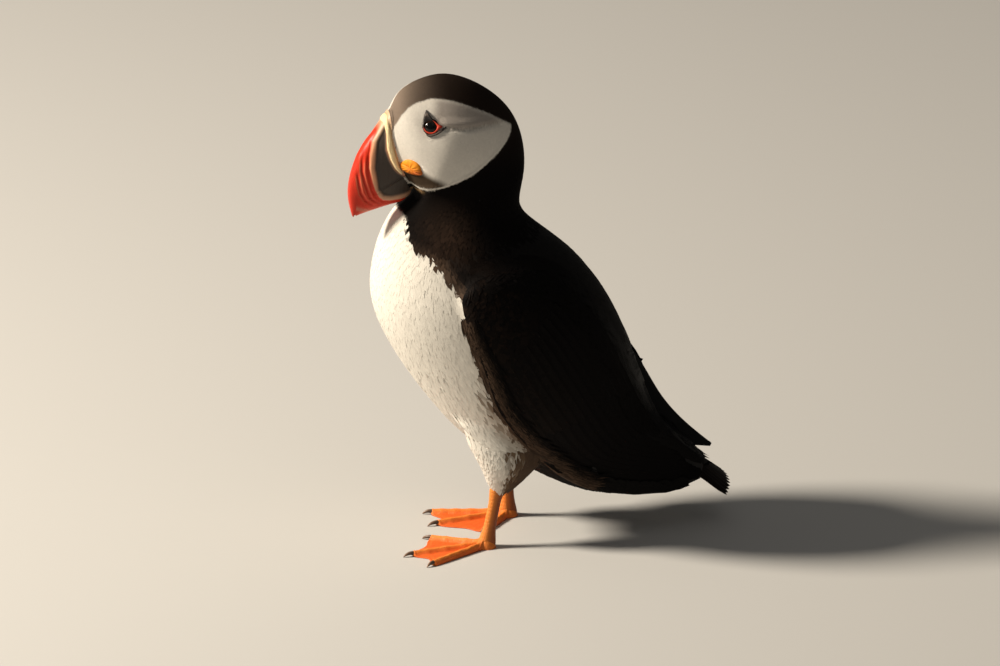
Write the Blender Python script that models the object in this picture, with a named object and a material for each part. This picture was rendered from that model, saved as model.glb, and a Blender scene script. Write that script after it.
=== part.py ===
"""An Atlantic puffin standing at rest, life size, as one solid for each part of the body.

Metres, +Z up. The bird faces -Y and its left side is +X. The soles of its feet lie on z = 0,
and the origin is under the middle of its length. Run it with
blender --background --python part.py, or from Blender's text editor.
"""

import math

import bmesh
import bpy
import numpy as np

MM = 0.001
GAP = 0.35  # clearance between neighbouring pieces, in millimetres like all sizes below
AROUND = 32  # facets round the body
SIDES = {"left": 1.0, "right": -1.0}

# The body is one loft, cut into head, neck, breast, belly and rump. Each station is a section
# of it: the dorsal point (y, z), the ventral point (y, z), the half width, how far the widest
# place lies above (+) or below (-) the middle, and how far the flanks run ahead of the midline.
BODY = (
    (-68.9, 203.6, -58.2, 167.0, 8.6, 0.00, 3.5),  # base of the bill
    (-63.6, 211.8, -57.4, 164.6, 14.6, -0.15, 2.2),  # lores
    (-54.6, 216.6, -57.2, 163.0, 18.6, -0.20, 1.0),  # eyes
    (-42.5, 218.2, -57.8, 161.8, 21.4, -0.18, 0.0),  # crown
    (-28.2, 213.0, -59.2, 160.6, 22.9, -0.12, 0.0),  # hind crown
    (-15.1, 202.1, -61.4, 159.0, 23.0, -0.06, 0.0),
    (-8.2, 187.5, -64.4, 156.8, 22.6, 0.00, 0.0),  # nape
    (-7.4, 171.0, -68.4, 152.6, 23.6, 0.02, 0.0),  # neck
    (-9.4, 157.2, -71.9, 146.0, 28.0, 0.04, 0.0),  # collar
    (-1.5, 146.3, -75.4, 135.0, 34.5, 0.04, 0.0),  # shoulders
    (13.5, 133.6, -77.2, 119.0, 40.0, 0.00, 0.0),  # breast
    (28.0, 116.0, -72.8, 101.6, 42.8, -0.02, 0.0),
    (38.6, 95.4, -61.0, 80.5, 42.0, -0.02, 0.0),  # belly
    (45.2, 76.0, -44.3, 58.0, 38.0, 0.00, 0.0),
    (50.0, 60.5, -25.0, 41.0, 30.5, 0.04, 0.0),  # vent
    (55.5, 49.8, 6.0, 27.6, 21.5, 0.06, 0.0),  # rump
    (62.0, 42.4, 34.0, 22.4, 15.5, 0.04, 0.0),
    (69.0, 36.6, 58.0, 20.0, 11.5, 0.00, 0.0),  # tail coverts
)
# Each piece of the body: where it starts and ends, in stations, and its number of rings.
PIECES = (
    ("head", 0.0, 6.3, 14),
    ("neck", 6.3, 8.2, 5),
    ("breast", 8.2, 11.0, 8),
    ("belly", 11.0, 14.2, 9),
    ("rump", 14.2, 17.0, 8),
)
PIECE_CUT = 0.035  # stations lost on each side of a cut between two pieces

# The bill is a loft of the same kind, slit along the mouth. Its stations run from the base to
# the tip: culmen (y, z), keel (y, z), half width, forward bow, and the mouth's height from
# the keel (0) to the culmen (1).
BILL = (
    (-68.9, 203.6, -58.2, 167.0, 8.4, 3.5, 0.22),
    (-75.0, 195.6, -62.4, 161.6, 7.6, 2.4, 0.31),
    (-80.7, 188.4, -68.5, 159.6, 6.4, 1.6, 0.30),
    (-84.9, 180.4, -74.0, 158.2, 5.1, 1.0, 0.28),
    (-87.4, 172.2, -79.0, 156.8, 3.8, 0.5, 0.26),
    (-88.0, 163.8, -82.9, 155.6, 2.6, 0.2, 0.24),
    (-86.2, 155.0, -85.7, 154.4, 0.8, 0.0, 0.24),
)
BILL_START = 0.06  # station at which the horn begins, clear of the head
BILL_FULL = 0.72  # exponent of the bill's section: 1 is an ellipse, less has flatter walls
CERE_SPAN = (0.20, 0.62)  # stations over which the pale ridge lies
CERE_REACH = 0.85  # share of the way from the culmen down to the mouth
CERE_RISE = 1.1
LOWER_END = 5.55  # the lower half stops short of the hooked tip

# Eye and its ornaments, as side views (y, z) laid on the head.
EYE_AT = (-54.1, 199.5)
EYE_RADIUS = 5.2
EYE_PROUD = 0.8
HORN_APEX = (-55.0, 206.6)
HORN_BASE = ((-57.3, 201.8), (-54.6, 202.8), (-51.9, 202.1))
PLATE_TOP = ((-57.2, 197.2), (-55.0, 195.8), (-51.4, 196.6), (-47.2, 199.1))
PLATE_LOW = ((-56.9, 196.3), (-55.2, 194.4), (-51.4, 195.3), (-46.9, 198.4))
PLATE_NET = (6, 8)  # points across each scale from tip to base and from end to end
HORN_HIGH = 1.2
ROSETTE_AT = (-61.9, 179.5)
ROSETTE_SIZE = (4.2, 3.4)
ROSETTE_HIGH = 2.2
ROSETTE_TILT = math.radians(-28)

# Folded wings in side view (y, z), from the wrist to the tip, along the upper and lower edge.
# The right wing is held a little higher behind, so its tip crosses above the rump.
WING_UPPER = {
    "left": (
        (-44.0, 126.5), (-34.0, 133.0), (-16.0, 133.5), (2.0, 124.5), (17.0, 107.0),
        (27.5, 88.0), (36.0, 70.0), (44.5, 56.5), (56.0, 47.5), (67.0, 38.5), (72.5, 30.0),
    ),
    "right": (
        (-44.0, 126.5), (-34.0, 133.0), (-16.0, 134.0), (2.0, 126.5), (18.0, 111.5),
        (31.0, 95.5), (43.0, 82.0), (53.0, 69.5), (62.0, 53.5), (73.0, 39.8), (85.5, 28.6),
    ),
}
WING_LOWER = {
    "left": (
        (-44.6, 124.0), (-41.5, 112.0), (-36.5, 99.0), (-31.0, 85.0), (-24.0, 69.0),
        (-12.0, 53.0), (2.0, 38.0), (19.0, 27.5), (38.0, 22.0), (56.0, 20.5), (71.0, 24.0),
    ),
    "right": (
        (-44.6, 124.0), (-41.5, 112.0), (-36.5, 99.0), (-31.0, 85.0), (-24.0, 70.0),
        (-12.0, 55.0), (2.0, 42.0), (20.0, 34.0), (42.0, 31.0), (64.0, 29.0), (84.8, 27.2),
    ),
}
WING_STAND_Y = (-24.0, 0.0, 18.0, 40.0, 60.0, 75.0, 90.0)
WING_STAND_X = (0.0, 26.0, 28.5, 25.5, 20.5, 17.5, 14.5)  # least distance out at those places
WING_BLEND = 3.0  # how softly the wing leaves the flank for that distance
WING_THICK = 3.2
WING_EDGE = 0.9
WING_SWELL = (0.7, 0.6)  # exponents of its thickening across and along
WING_GAP = 0.75
WING_GRID = (21, 9)

TAIL = (  # y, z, half width and half thickness of the tail, from its root to its tip
    (62.0, 31.5, 10.0, 4.2),
    (70.0, 28.0, 13.0, 3.4),
    (79.0, 22.8, 16.4, 2.2),
    (88.6, 16.8, 19.2, 0.8),
)
TAIL_ROUND = 5.5  # how much longer the middle feathers are
TAIL_ROLL = math.radians(6)  # the left edge hangs lower

HEEL = {"left": (20.5, -29.5), "right": (20.5, -9.0)}  # distance out, and y
ANKLE = {"left": (19.5, -23.0, 27.0), "right": (19.5, -9.5, 27.0)}
FOOT_TURN = {"left": math.radians(7), "right": math.radians(-10)}  # outwards
TOES = (("inner", 26.5, -42.0, 4.4), ("middle", 35.5, 0.0, 4.2), ("outer", 35.0, 26.0, 3.8))
TOE_HIGH = 3.0
TOE_WIDE = 1.9
TOE_FALL = 0.25  # share of its height that a toe loses towards its tip
WEB_HIGH = 0.9
WEB_SCALLOP = 0.12
HEEL_RADIUS = 4.6
HEEL_HIGH = 5.2
HEEL_SPREAD = 1.25  # radius of the dome over the heel's
FOOT_TOP = 2.4  # radius of the foot's innermost ring
FOOT_RINGS = 7
FOOT_CROWD = 0.8  # below 1 the rings crowd towards the foot's edge
FOOT_EDGE = 0.55  # share of a toe's height at the foot's edge
HEEL_TOP = 0.5  # the dome is cut flat this far below its top, for the tarsus to stand on
TARSUS = (2.7, 2.1)  # half depth and half breadth
TARSUS_FLARE = 0.18  # how much wider it is at its ends
CLAW_RADIUS = (0.25, 1.20)  # at the tip and at the toe
CLAW_TAPER = 0.8
CLAW_HUMP = 0.5
# The feathered thigh from the tarsus up: height, distance out, share of the way back from
# the ankle to the hip, half breadth and half depth.
THIGH = (
    (27.4, 19.5, 0.28, 4.5, 5.5),
    (30.5, 19.6, 0.46, 6.2, 8.2),
    (34.5, 19.6, 0.70, 8.2, 11.0),
    (40.0, 19.2, 0.95, 10.3, 14.8),
    (48.0, 17.6, 1.00, 11.5, 19.2),
    (58.0, 15.6, 0.92, 11.8, 24.2),
)
HIP = {"left": -17.6, "right": -14.0}  # y of the thigh's middle at its top

PLUMAGE_WHITE = (0.80, 0.78, 0.74)
PLUMAGE_BLACK = (0.012, 0.010, 0.010)
CHEEK_GREY = (0.62, 0.59, 0.55)
BILL_RED = (0.72, 0.06, 0.015)
CERE_CREAM = (0.78, 0.62, 0.36)
ROSETTE_YELLOW = (0.86, 0.36, 0.02)
PLATE_GREY = (0.10, 0.10, 0.12)
EYE_DARK = (0.02, 0.008, 0.006)
LEG_ORANGE = (0.85, 0.17, 0.02)
CLAW_DARK = (0.03, 0.02, 0.02)


def clear_scene():
    for old in list(bpy.data.objects):
        bpy.data.objects.remove(old)


def finish(name, colour, roughness):
    """A Principled material of one colour."""
    made = bpy.data.materials.get(name) or bpy.data.materials.new(name)
    made.use_nodes = True
    shader = made.node_tree.nodes["Principled BSDF"]
    shader.inputs["Base Color"].default_value = (*colour, 1.0)
    shader.inputs["Roughness"].default_value = roughness
    shader.inputs["Metallic"].default_value = 0.0
    return made


def solid(name, points, faces, material):
    """A closed mesh object from points in millimetres, with its faces turned outwards."""
    mesh = bpy.data.meshes.new(name)
    mesh.from_pydata([tuple(p) for p in points * MM], [], faces)
    tidy = bmesh.new()
    tidy.from_mesh(mesh)
    bmesh.ops.remove_doubles(tidy, verts=tidy.verts, dist=0.01 * MM)
    bmesh.ops.recalc_face_normals(tidy, faces=tidy.faces)
    tidy.to_mesh(mesh)
    tidy.free()
    mesh.shade_smooth()
    mesh.set_sharp_from_angle(angle=math.radians(40))
    mesh.materials.append(material)
    made = bpy.data.objects.new(name, mesh)
    bpy.context.scene.collection.objects.link(made)
    return made


def ruled_end(first, around):
    """Faces that close a ring whose first point is on the midline, each from side to side."""
    faces = []
    for j in range(around // 2):
        corners = (j, j + 1, around - j - 1, (around - j) % around)
        faces.append(tuple(first + k for k in dict.fromkeys(corners)))
    return faces


def tube(name, rings, material, ruled=False):
    """A closed loft of rings, given as an array (rings, around, 3). Its ends are flat, or
    ruled from side to side where the end rings are bowed."""
    rows, around = rings.shape[:2]
    last = (rows - 1) * around
    faces = [
        (i * around + j, i * around + (j + 1) % around,
         (i + 1) * around + (j + 1) % around, (i + 1) * around + j)
        for i in range(rows - 1)
        for j in range(around)
    ]
    if ruled:
        faces += ruled_end(0, around) + ruled_end(last, around)
    else:
        faces += [tuple(range(around)), tuple(range(last, last + around))]
    return solid(name, rings.reshape(-1, 3), faces, material)


def slab(name, outer, inner, material):
    """A closed plate between two grids of points of one size, (n, m, 3), with its rims."""
    n, m = outer.shape[:2]
    under = n * m
    faces = []
    for i in range(n - 1):
        for j in range(m - 1):
            quad = (i * m + j, i * m + j + 1, (i + 1) * m + j + 1, (i + 1) * m + j)
            faces.append(quad)
            faces.append(tuple(under + k for k in reversed(quad)))
    rim = [j for j in range(m)]
    rim += [i * m + m - 1 for i in range(1, n)]
    rim += [(n - 1) * m + j for j in range(m - 2, -1, -1)]
    rim += [i * m for i in range(n - 2, 0, -1)]
    for a, b in zip(rim, rim[1:] + rim[:1]):
        faces.append((b, a, under + a, under + b))
    points = np.concatenate([outer.reshape(-1, 3), inner.reshape(-1, 3)])
    return solid(name, points, faces, material)


def spline(knots, s):
    """The natural cubic spline through the rows of knots, at s counted in rows."""
    knots = np.asarray(knots, float)
    n = len(knots)
    system = 4 * np.eye(n) + np.eye(n, k=1) + np.eye(n, k=-1)
    system[0], system[-1] = np.eye(n)[0], np.eye(n)[-1]
    right = np.zeros_like(knots)
    right[1:-1] = 6 * (knots[2:] - 2 * knots[1:-1] + knots[:-2])
    bend = np.linalg.solve(system, right)
    i = np.clip(np.floor(s).astype(int), 0, n - 2)
    t = (s - i)[..., None]
    r = 1 - t
    curved = ((r**3 - r) * bend[i] + (t**3 - t) * bend[i + 1]) / 6
    return r * knots[i] + t * knots[i + 1] + curved


def section(dorsal, ventral, wide, bow, turn):
    """A point of a loft's section. turn is 0 on the dorsal midline, pi / 2 on the left flank
    and pi on the ventral midline. wide is the distance from the midline, and the flanks run
    ahead of the straight line from dorsal to ventral by bow sin(turn) squared."""
    line = dorsal - ventral
    long = np.maximum(np.linalg.norm(line, axis=-1, keepdims=True), 1e-9)
    ahead = np.stack([-line[..., 1], line[..., 0]], -1) / long
    middle = (dorsal + ventral) / 2
    at = middle + line / 2 * np.cos(turn)[..., None]
    at = at + ahead * (bow * np.sin(turn) ** 2)[..., None]
    return np.concatenate([wide[..., None], at], -1)


def body(s, turn):
    """The body's surface. Across a section its width is W sin(turn) (1 + lean cos(turn))."""
    s, turn = np.broadcast_arrays(np.asarray(s, float), np.asarray(turn, float))
    row = spline(BODY, s)
    wide = row[..., 4] * np.sin(turn) * (1 + row[..., 5] * np.cos(turn))
    return section(row[..., 0:2], row[..., 2:4], wide, row[..., 6], turn)


def bill(s, turn):
    """The bill's surface: sections with flat walls and a rounded culmen and keel."""
    s, turn = np.broadcast_arrays(np.asarray(s, float), np.asarray(turn, float))
    row = spline(BILL, s)
    sine = np.sin(turn)
    wide = row[..., 4] * np.sign(sine) * np.abs(sine) ** BILL_FULL
    return section(row[..., 0:2], row[..., 2:4], wide, row[..., 5], turn)


def outward(surface, s, turn):
    """Unit normals of a loft, out of the solid, from small steps along both parameters. The
    body's stations run backwards and the bill's run forwards, which turns the normal."""
    step = 1e-3
    along = surface(s + step, turn) - surface(s - step, turn)
    across = surface(s, turn + step) - surface(s, turn - step)
    out = np.cross(across, along) * (1 if surface is body else -1)
    return out / np.maximum(np.linalg.norm(out, axis=-1, keepdims=True), 1e-12)


def find_on_body(y, z):
    """The parameters of the left flank's point with the side view (y, z), by Newton steps from
    the nearest of a coarse net of points. Outside the outline it ends on the midline."""
    y, z = np.broadcast_arrays(np.asarray(y, float), np.asarray(z, float))
    net_s, net_turn = np.meshgrid(
        np.linspace(0, len(BODY) - 1, 140), np.linspace(0.05, math.pi - 0.05, 40),
        indexing="ij",
    )
    net = body(net_s, net_turn)
    away = (net[..., 1].ravel() - y[..., None]) ** 2 + (net[..., 2].ravel() - z[..., None]) ** 2
    nearest = np.argmin(away, axis=-1)
    s, turn = net_s.ravel()[nearest], net_turn.ravel()[nearest]
    step = 1e-4
    for _ in range(8):
        here = body(s, turn)[..., 1:]
        by_s = (body(s + step, turn)[..., 1:] - here) / step
        by_turn = (body(s, turn + step)[..., 1:] - here) / step
        miss = np.stack([y, z], -1) - here
        area = by_s[..., 0] * by_turn[..., 1] - by_s[..., 1] * by_turn[..., 0]
        area = np.where(np.abs(area) < 1e-6, 1e-6, area)
        move_s = (miss[..., 0] * by_turn[..., 1] - miss[..., 1] * by_turn[..., 0]) / area
        move_turn = (by_s[..., 0] * miss[..., 1] - by_s[..., 1] * miss[..., 0]) / area
        s = np.clip(s + np.clip(move_s, -0.3, 0.3), 0, len(BODY) - 1)
        turn = np.clip(turn + np.clip(move_turn, -0.2, 0.2), 0.02, math.pi - 0.02)
    return s, turn


def to_side(points, side):
    return points * np.array([SIDES[side], 1.0, 1.0])


def cut_away(piece, cutter):
    """Takes the cutter's shape out of the piece, and keeps the cutter out of the model."""
    cut = piece.modifiers.new("cut", "BOOLEAN")
    cut.operation = "DIFFERENCE"
    cut.solver = "EXACT"
    cut.object = cutter
    cutter.hide_render = True
    cutter.display_type = "WIRE"


def body_rings(start, end, count, lift=0.0):
    """Rings of the body between two stations, pushed out by lift."""
    s = np.linspace(start, end, count)[:, None]
    turn = np.linspace(0, 2 * math.pi, AROUND, endpoint=False)[None, :]
    s, turn = np.broadcast_arrays(s, turn)
    return body(s, turn) + lift * outward(body, s, turn)


def ball(name, centre, radius, material):
    """A sphere as rings round its x axis."""
    polar = np.linspace(math.radians(10), math.radians(170), 8)[:, None]
    angle = np.linspace(0, 2 * math.pi, 14, endpoint=False)[None, :]
    rings = np.stack(
        [
            np.cos(polar) + 0 * angle,
            np.sin(polar) * np.cos(angle),
            np.sin(polar) * np.sin(angle),
        ],
        -1,
    )
    return tube(name, np.array(centre) + radius * rings, material)


def eye_centre():
    s, turn = find_on_body(*EYE_AT)
    return body(s, turn) - (EYE_RADIUS - EYE_PROUD) * outward(body, s, turn)


def laid_on_body(name, side, y, z, low, high, material):
    """A plate on the flank over a grid of side-view places, between two heights."""
    s, turn = find_on_body(y, z)
    base, out = body(s, turn), outward(body, s, turn)
    outer = base + out * np.broadcast_to(high, y.shape)[..., None]
    inner = base + out * np.broadcast_to(low, y.shape)[..., None]
    return slab(name, to_side(outer, side), to_side(inner, side), material)


def make_body(colours):
    for name, start, end, rings in PIECES:
        first = start + (PIECE_CUT if start > 0 else 0.0)
        last = end - (PIECE_CUT if end < len(BODY) - 1 else 0.0)
        made = tube(name, body_rings(first, last, rings), colours[name], ruled=True)
        if name == "head":
            for side in SIDES:
                hollow = ball(f"socket_{side}", to_side(eye_centre(), side),
                              EYE_RADIUS + GAP, colours[name])
                cut_away(made, hollow)


def make_eyes(dark, grey):
    """Each eyeball, the upright horn plate above it and the narrow one below it."""
    for side in SIDES:
        ball(f"eye_{side}", to_side(eye_centre(), side), EYE_RADIUS, dark)
        up = np.linspace(0, 1, PLATE_NET[0])[:, None, None]
        base = spline(HORN_BASE, np.linspace(0, 2, PLATE_NET[1]))[None, :, :]
        horn = base + (np.array(HORN_APEX) - base) * up
        laid_on_body(f"eye_horn_{side}", side, horn[..., 0], horn[..., 1],
                     GAP, HORN_HIGH, grey)
        top = spline(PLATE_TOP, np.linspace(0, 3, PLATE_NET[1]))[None, :, :]
        low = spline(PLATE_LOW, np.linspace(0, 3, PLATE_NET[1]))[None, :, :]
        plate = top + (low - top) * up
        laid_on_body(f"eye_plate_{side}", side, plate[..., 0], plate[..., 1],
                     GAP, HORN_HIGH, grey)


def mouth_turn(s):
    """The turn at which the bill's walls meet the mouth, at stations s."""
    return np.arccos(2 * spline(BILL, s)[..., 6] - 1)


def half_bill(start, end, count, upper):
    """Rings of the bill above or below the mouth, each closed by its flat cutting edge."""
    s = np.linspace(start, end, count)
    slit = GAP / 2 / np.maximum(np.linalg.norm(
        spline(BILL, s)[:, 0:2] - spline(BILL, s)[:, 2:4], axis=1), 1.0)
    share = np.linspace(-1, 1, 15)[None, :]
    if upper:
        edge = np.arccos(np.clip(2 * (spline(BILL, s)[:, 6] + slit) - 1, -0.99, 0.99))
        turn = share * edge[:, None]
    else:
        edge = math.pi - np.arccos(
            np.clip(2 * (spline(BILL, s)[:, 6] - slit) - 1, -0.99, 0.99))
        turn = math.pi + share * edge[:, None]
    rings = bill(np.broadcast_to(s[:, None], turn.shape), turn)
    return np.roll(rings, -(rings.shape[1] // 2), axis=1)


def make_bill(red, cream, yellow):
    tube("bill_upper", half_bill(BILL_START, len(BILL) - 1.0, 14, True), red, ruled=True)
    tube("bill_lower", half_bill(BILL_START, LOWER_END, 11, False), red, ruled=True)
    s = np.linspace(*CERE_SPAN, 4)[:, None]
    turn = np.linspace(-CERE_REACH, CERE_REACH, 15)[None, :] * mouth_turn(s[:, 0])[:, None]
    s, turn = np.broadcast_arrays(s, turn)
    surface, out = bill(s, turn), outward(bill, s, turn)
    slab("cere", surface + CERE_RISE * out, surface + GAP * out, cream)
    for side in SIDES:
        far = np.linspace(0.02, 1, 4)[:, None]
        angle = np.linspace(0, 2 * math.pi, 13)[None, :]
        along = ROSETTE_SIZE[0] * far * np.cos(angle)
        across = ROSETTE_SIZE[1] * far * np.sin(angle)
        y = ROSETTE_AT[0] + along * math.cos(ROSETTE_TILT) - across * math.sin(ROSETTE_TILT)
        z = ROSETTE_AT[1] + along * math.sin(ROSETTE_TILT) + across * math.cos(ROSETTE_TILT)
        high = GAP + (ROSETTE_HIGH - GAP) * np.sqrt(1.02 - far**2) + 0 * angle
        s, turn = find_on_body(y, z)
        base_points, out = body(s, turn), outward(body, s, turn)
        top = base_points + out * high[..., None]
        rings = np.concatenate([top, (base_points + out * GAP)[::-1]])[:, :-1]
        tube(f"rosette_{side}", to_side(rings, side), yellow)


def wing_place(side, along, across):
    """The inner face of a folded wing. Its side view runs from the upper to the lower edge.
    It lies on the body where the body is wide, and stands at a least distance from the
    midline where the body draws in behind."""
    steps = len(WING_UPPER[side]) - 1
    upper = spline(WING_UPPER[side], along * steps)
    lower = spline(WING_LOWER[side], along * steps)
    view = upper + (lower - upper) * across[..., None]
    y, z = view[..., 0], view[..., 1]
    s, turn = find_on_body(y, z)
    on_body = body(s, turn)
    lifted = on_body + WING_GAP * outward(body, s, turn)
    stand = np.interp(y, WING_STAND_Y, WING_STAND_X)
    inside = np.hypot(on_body[..., 1] - y, on_body[..., 2] - z) < 0.5
    x = np.where(inside, lifted[..., 0], 0.0)
    x = WING_BLEND * np.logaddexp(x / WING_BLEND, stand / WING_BLEND)
    y = np.where(inside, lifted[..., 1], y)
    z = np.where(inside, lifted[..., 2], z)
    return np.stack([x, y, z], -1)


def grid_normals(points):
    """Unit normals of a grid of points, turned to +x."""
    out = np.cross(np.gradient(points, axis=0), np.gradient(points, axis=1))
    out /= np.maximum(np.linalg.norm(out, axis=-1, keepdims=True), 1e-12)
    return out * np.sign(out[..., :1] + 1e-9)


def make_wings(black):
    for side in SIDES:
        steps = [np.linspace(0, 1, count) for count in WING_GRID]
        along, across = np.meshgrid(*steps, indexing="ij")
        inner = wing_place(side, along, across)
        swell = np.sin(math.pi * across) ** WING_SWELL[0]
        swell = swell * np.sin(math.pi * np.sqrt(along)) ** WING_SWELL[1]
        thick = WING_EDGE + (WING_THICK - WING_EDGE) * swell
        outer = inner + grid_normals(inner) * thick[..., None]
        slab(f"wing_{side}", to_side(outer, side), to_side(inner, side), black)


def make_tail(black, cutter):
    """A flat fan: rings of a flattened ellipse whose middle runs further back."""
    count = 9
    rows = spline(TAIL, np.linspace(0, len(TAIL) - 1, count))
    angle = np.linspace(0, 2 * math.pi, 20, endpoint=False)
    across, above = np.cos(angle)[None, :], np.sin(angle)[None, :]
    x = rows[:, 2:3] * across
    back = TAIL_ROUND * np.linspace(0, 1, count)[:, None] * -(across**2)
    z = rows[:, 1:2] + rows[:, 3:4] * above - x * math.tan(TAIL_ROLL)
    rings = np.stack([x, rows[:, 0:1] + back, z], -1)
    made = tube("tail", rings, black)
    cut_away(made, cutter)


def foot_outline(turn):
    """How far the foot reaches from the heel at each turn from the middle toe: toes joined
    by webs whose edges curve in between the tips, and a short round heel."""
    splay = np.radians([toe[2] for toe in TOES])
    long = np.array([toe[1] for toe in TOES])
    reach = np.full(turn.shape, HEEL_RADIUS)
    for k in range(2):
        share = (turn - splay[k]) / (splay[k + 1] - splay[k])
        edge = long[k] + (long[k + 1] - long[k]) * share
        edge = edge * (1 - WEB_SCALLOP * np.sin(math.pi * np.clip(share, 0, 1)) ** 2)
        reach = np.where((share >= 0) & (share <= 1), edge, reach)
    for k, way in ((0, -1), (2, 1)):
        beyond = (turn - splay[k]) * way
        half = np.arcsin(np.clip(TOE_WIDE / long[k], 0, 1))
        side = TOE_WIDE / np.maximum(np.sin(np.clip(beyond, half, math.pi / 2)), 1e-3)
        on_toe = (beyond > 0) & (beyond < math.pi / 2)
        reach = np.where(on_toe, np.maximum(HEEL_RADIUS, np.minimum(side, long[k])), reach)
    return reach


def foot_turns():
    """Turns to sample: close together on the toes, wide apart on the webs and the heel."""
    splay = [math.radians(toe[2]) for toe in TOES]
    near = [math.radians(v) for v in (-3.2, 0.0, 3.2)]
    turns = [toe + step for toe in splay for step in near]
    for first, second in zip(splay, splay[1:]):
        turns += [first + (second - first) * share for share in (0.22, 0.36, 0.5, 0.64, 0.78)]
    first, last = splay[0] - near[2], splay[-1] + near[2]
    turns += [first - math.radians(v) for v in (4, 9, 18)]
    turns += [last + math.radians(v) for v in (4, 9, 18)]
    rest = 2 * math.pi - (last - first) - math.radians(36)
    turns += [last + math.radians(18) + rest * share for share in np.linspace(0, 1, 12)[1:-1]]
    return np.array(sorted(turns))


def foot_height(far, turn):
    """The top of the foot: webs, a rounded ridge along each toe, and a dome at the heel."""
    high = np.full(far.shape, WEB_HIGH)
    for _, long, splay, _ in TOES:
        ahead = far * np.cos(turn - math.radians(splay))
        aside = far * np.sin(turn - math.radians(splay))
        ridge = (TOE_HIGH - WEB_HIGH) * np.exp(-((aside / TOE_WIDE) ** 2)) * (ahead > 0)
        high = np.maximum(high, WEB_HIGH + ridge * (1 - TOE_FALL * ahead / long))
    dome = HEEL_HIGH * np.sqrt(np.clip(1 - (far / (HEEL_RADIUS * HEEL_SPREAD)) ** 2, 0, 1))
    return np.maximum(high, dome)


def placed(points, side):
    """Points given with the middle toe along -y and outwards +x, set at the heel."""
    c, s = math.cos(FOOT_TURN[side]), math.sin(FOOT_TURN[side])
    x, y, z = np.moveaxis(points, -1, 0)
    turned = np.stack([x * c - y * s, x * s + y * c, z], -1)
    return to_side(turned + np.array([*HEEL[side], 0.0]), side)


def make_feet(orange, dark):
    turns = foot_turns()
    reach = foot_outline(turns)
    for side in SIDES:
        share = np.linspace(0, 1, FOOT_RINGS)[:, None] ** FOOT_CROWD
        far = FOOT_TOP + (reach[None, :] - FOOT_TOP) * share
        high = foot_height(far, turns[None, :] + 0 * far)
        high[0] = HEEL_HIGH - HEEL_TOP
        high[-1] = np.minimum(high[-1], TOE_HIGH * FOOT_EDGE)
        far = np.concatenate([far, far[-1:]])
        high = np.concatenate([high, np.zeros_like(high[-1:])])
        rings = np.stack([far * np.sin(turns), -far * np.cos(turns), high], -1)
        tube(f"foot_{side}", placed(rings, side), orange)
        for toe, long, splay, claw in TOES:
            make_claw(f"claw_{side}_{toe}", side, long, math.radians(splay), claw, dark)


def make_claw(name, side, start, splay, long, dark):
    """A tapered, slightly hooked nail that starts a gap ahead of the toe's tip."""
    share = np.linspace(0, 1, 5)[:, None]
    angle = np.linspace(0, 2 * math.pi, 6, endpoint=False)[None, :]
    radius = CLAW_RADIUS[0] + (CLAW_RADIUS[1] - CLAW_RADIUS[0]) * (1 - share) ** CLAW_TAPER
    ahead = start + GAP + long * share + 0 * angle
    aside = radius * np.cos(angle)
    up = GAP + radius + CLAW_HUMP * (1 - share) * share * 4 + radius * np.sin(angle)
    rings = np.stack(
        [
            ahead * math.sin(splay) + aside * math.cos(splay),
            -ahead * math.cos(splay) + aside * math.sin(splay),
            up,
        ],
        -1,
    )
    tube(name, placed(rings, side), dark)


def make_legs(orange, white, cutter):
    """Tarsi between the feet and the feathered thighs, which end on the belly."""
    angle = np.linspace(0, 2 * math.pi, 14, endpoint=False)[None, :]
    for side in SIDES:
        heel = np.array([*HEEL[side], HEEL_HIGH - HEEL_TOP + GAP])
        ankle = np.array(ANKLE[side])
        share = np.linspace(0, 1, 7)[:, None]
        middle = heel + (ankle - heel) * share
        waist = 1 + TARSUS_FLARE * (2 * share - 1) ** 2
        x = middle[:, 0:1] + TARSUS[1] * waist * np.cos(angle)
        y = middle[:, 1:2] + TARSUS[0] * waist * np.sin(angle)
        z = middle[:, 2:3] + 0 * angle
        tube(f"tarsus_{side}", to_side(np.stack([x, y, z], -1), side), orange)
        rows = spline(THIGH, np.linspace(0, len(THIGH) - 1, 9))
        x = rows[:, 1:2] + rows[:, 3:4] * np.cos(angle)
        y = ankle[1] + (HIP[side] - ankle[1]) * rows[:, 2:3] + rows[:, 4:5] * np.sin(angle)
        z = rows[:, 0:1] + 0 * angle
        made = tube(f"thigh_{side}", to_side(np.stack([x, y, z], -1), side), white)
        cut_away(made, cutter)


def main():
    clear_scene()
    white = finish("white_plumage", PLUMAGE_WHITE, 0.85)
    grey = finish("cheek_plumage", CHEEK_GREY, 0.8)
    black = finish("black_plumage", PLUMAGE_BLACK, 0.75)
    red = finish("bill_horn", BILL_RED, 0.35)
    cream = finish("cere", CERE_CREAM, 0.45)
    yellow = finish("rosette", ROSETTE_YELLOW, 0.5)
    plate = finish("eye_plate", PLATE_GREY, 0.5)
    eye = finish("eye", EYE_DARK, 0.05)
    orange = finish("leg_skin", LEG_ORANGE, 0.5)
    claw = finish("claw", CLAW_DARK, 0.4)
    colours = {"head": grey, "neck": black, "breast": white, "belly": white, "rump": black}
    make_body(colours)
    make_eyes(eye, plate)
    make_bill(red, cream, yellow)
    make_wings(black)
    around_body = tube("body_clearance", body_rings(8.0, len(BODY) - 1.0, 40, GAP), black)
    make_tail(black, around_body)
    make_feet(orange, claw)
    make_legs(orange, white, around_body)


main()
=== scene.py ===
"""An Atlantic puffin standing at rest, life size: plumage, horn, bare skin and eyes.

Sizes are in millimetres until a mesh is made. The bird faces -Y and its left side is +X.
A surface is a function of two numbers, u along the lie of the feathers and v across it, for
which the cross product of its v and u directions points out of the bird.
"""

import math

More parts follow.
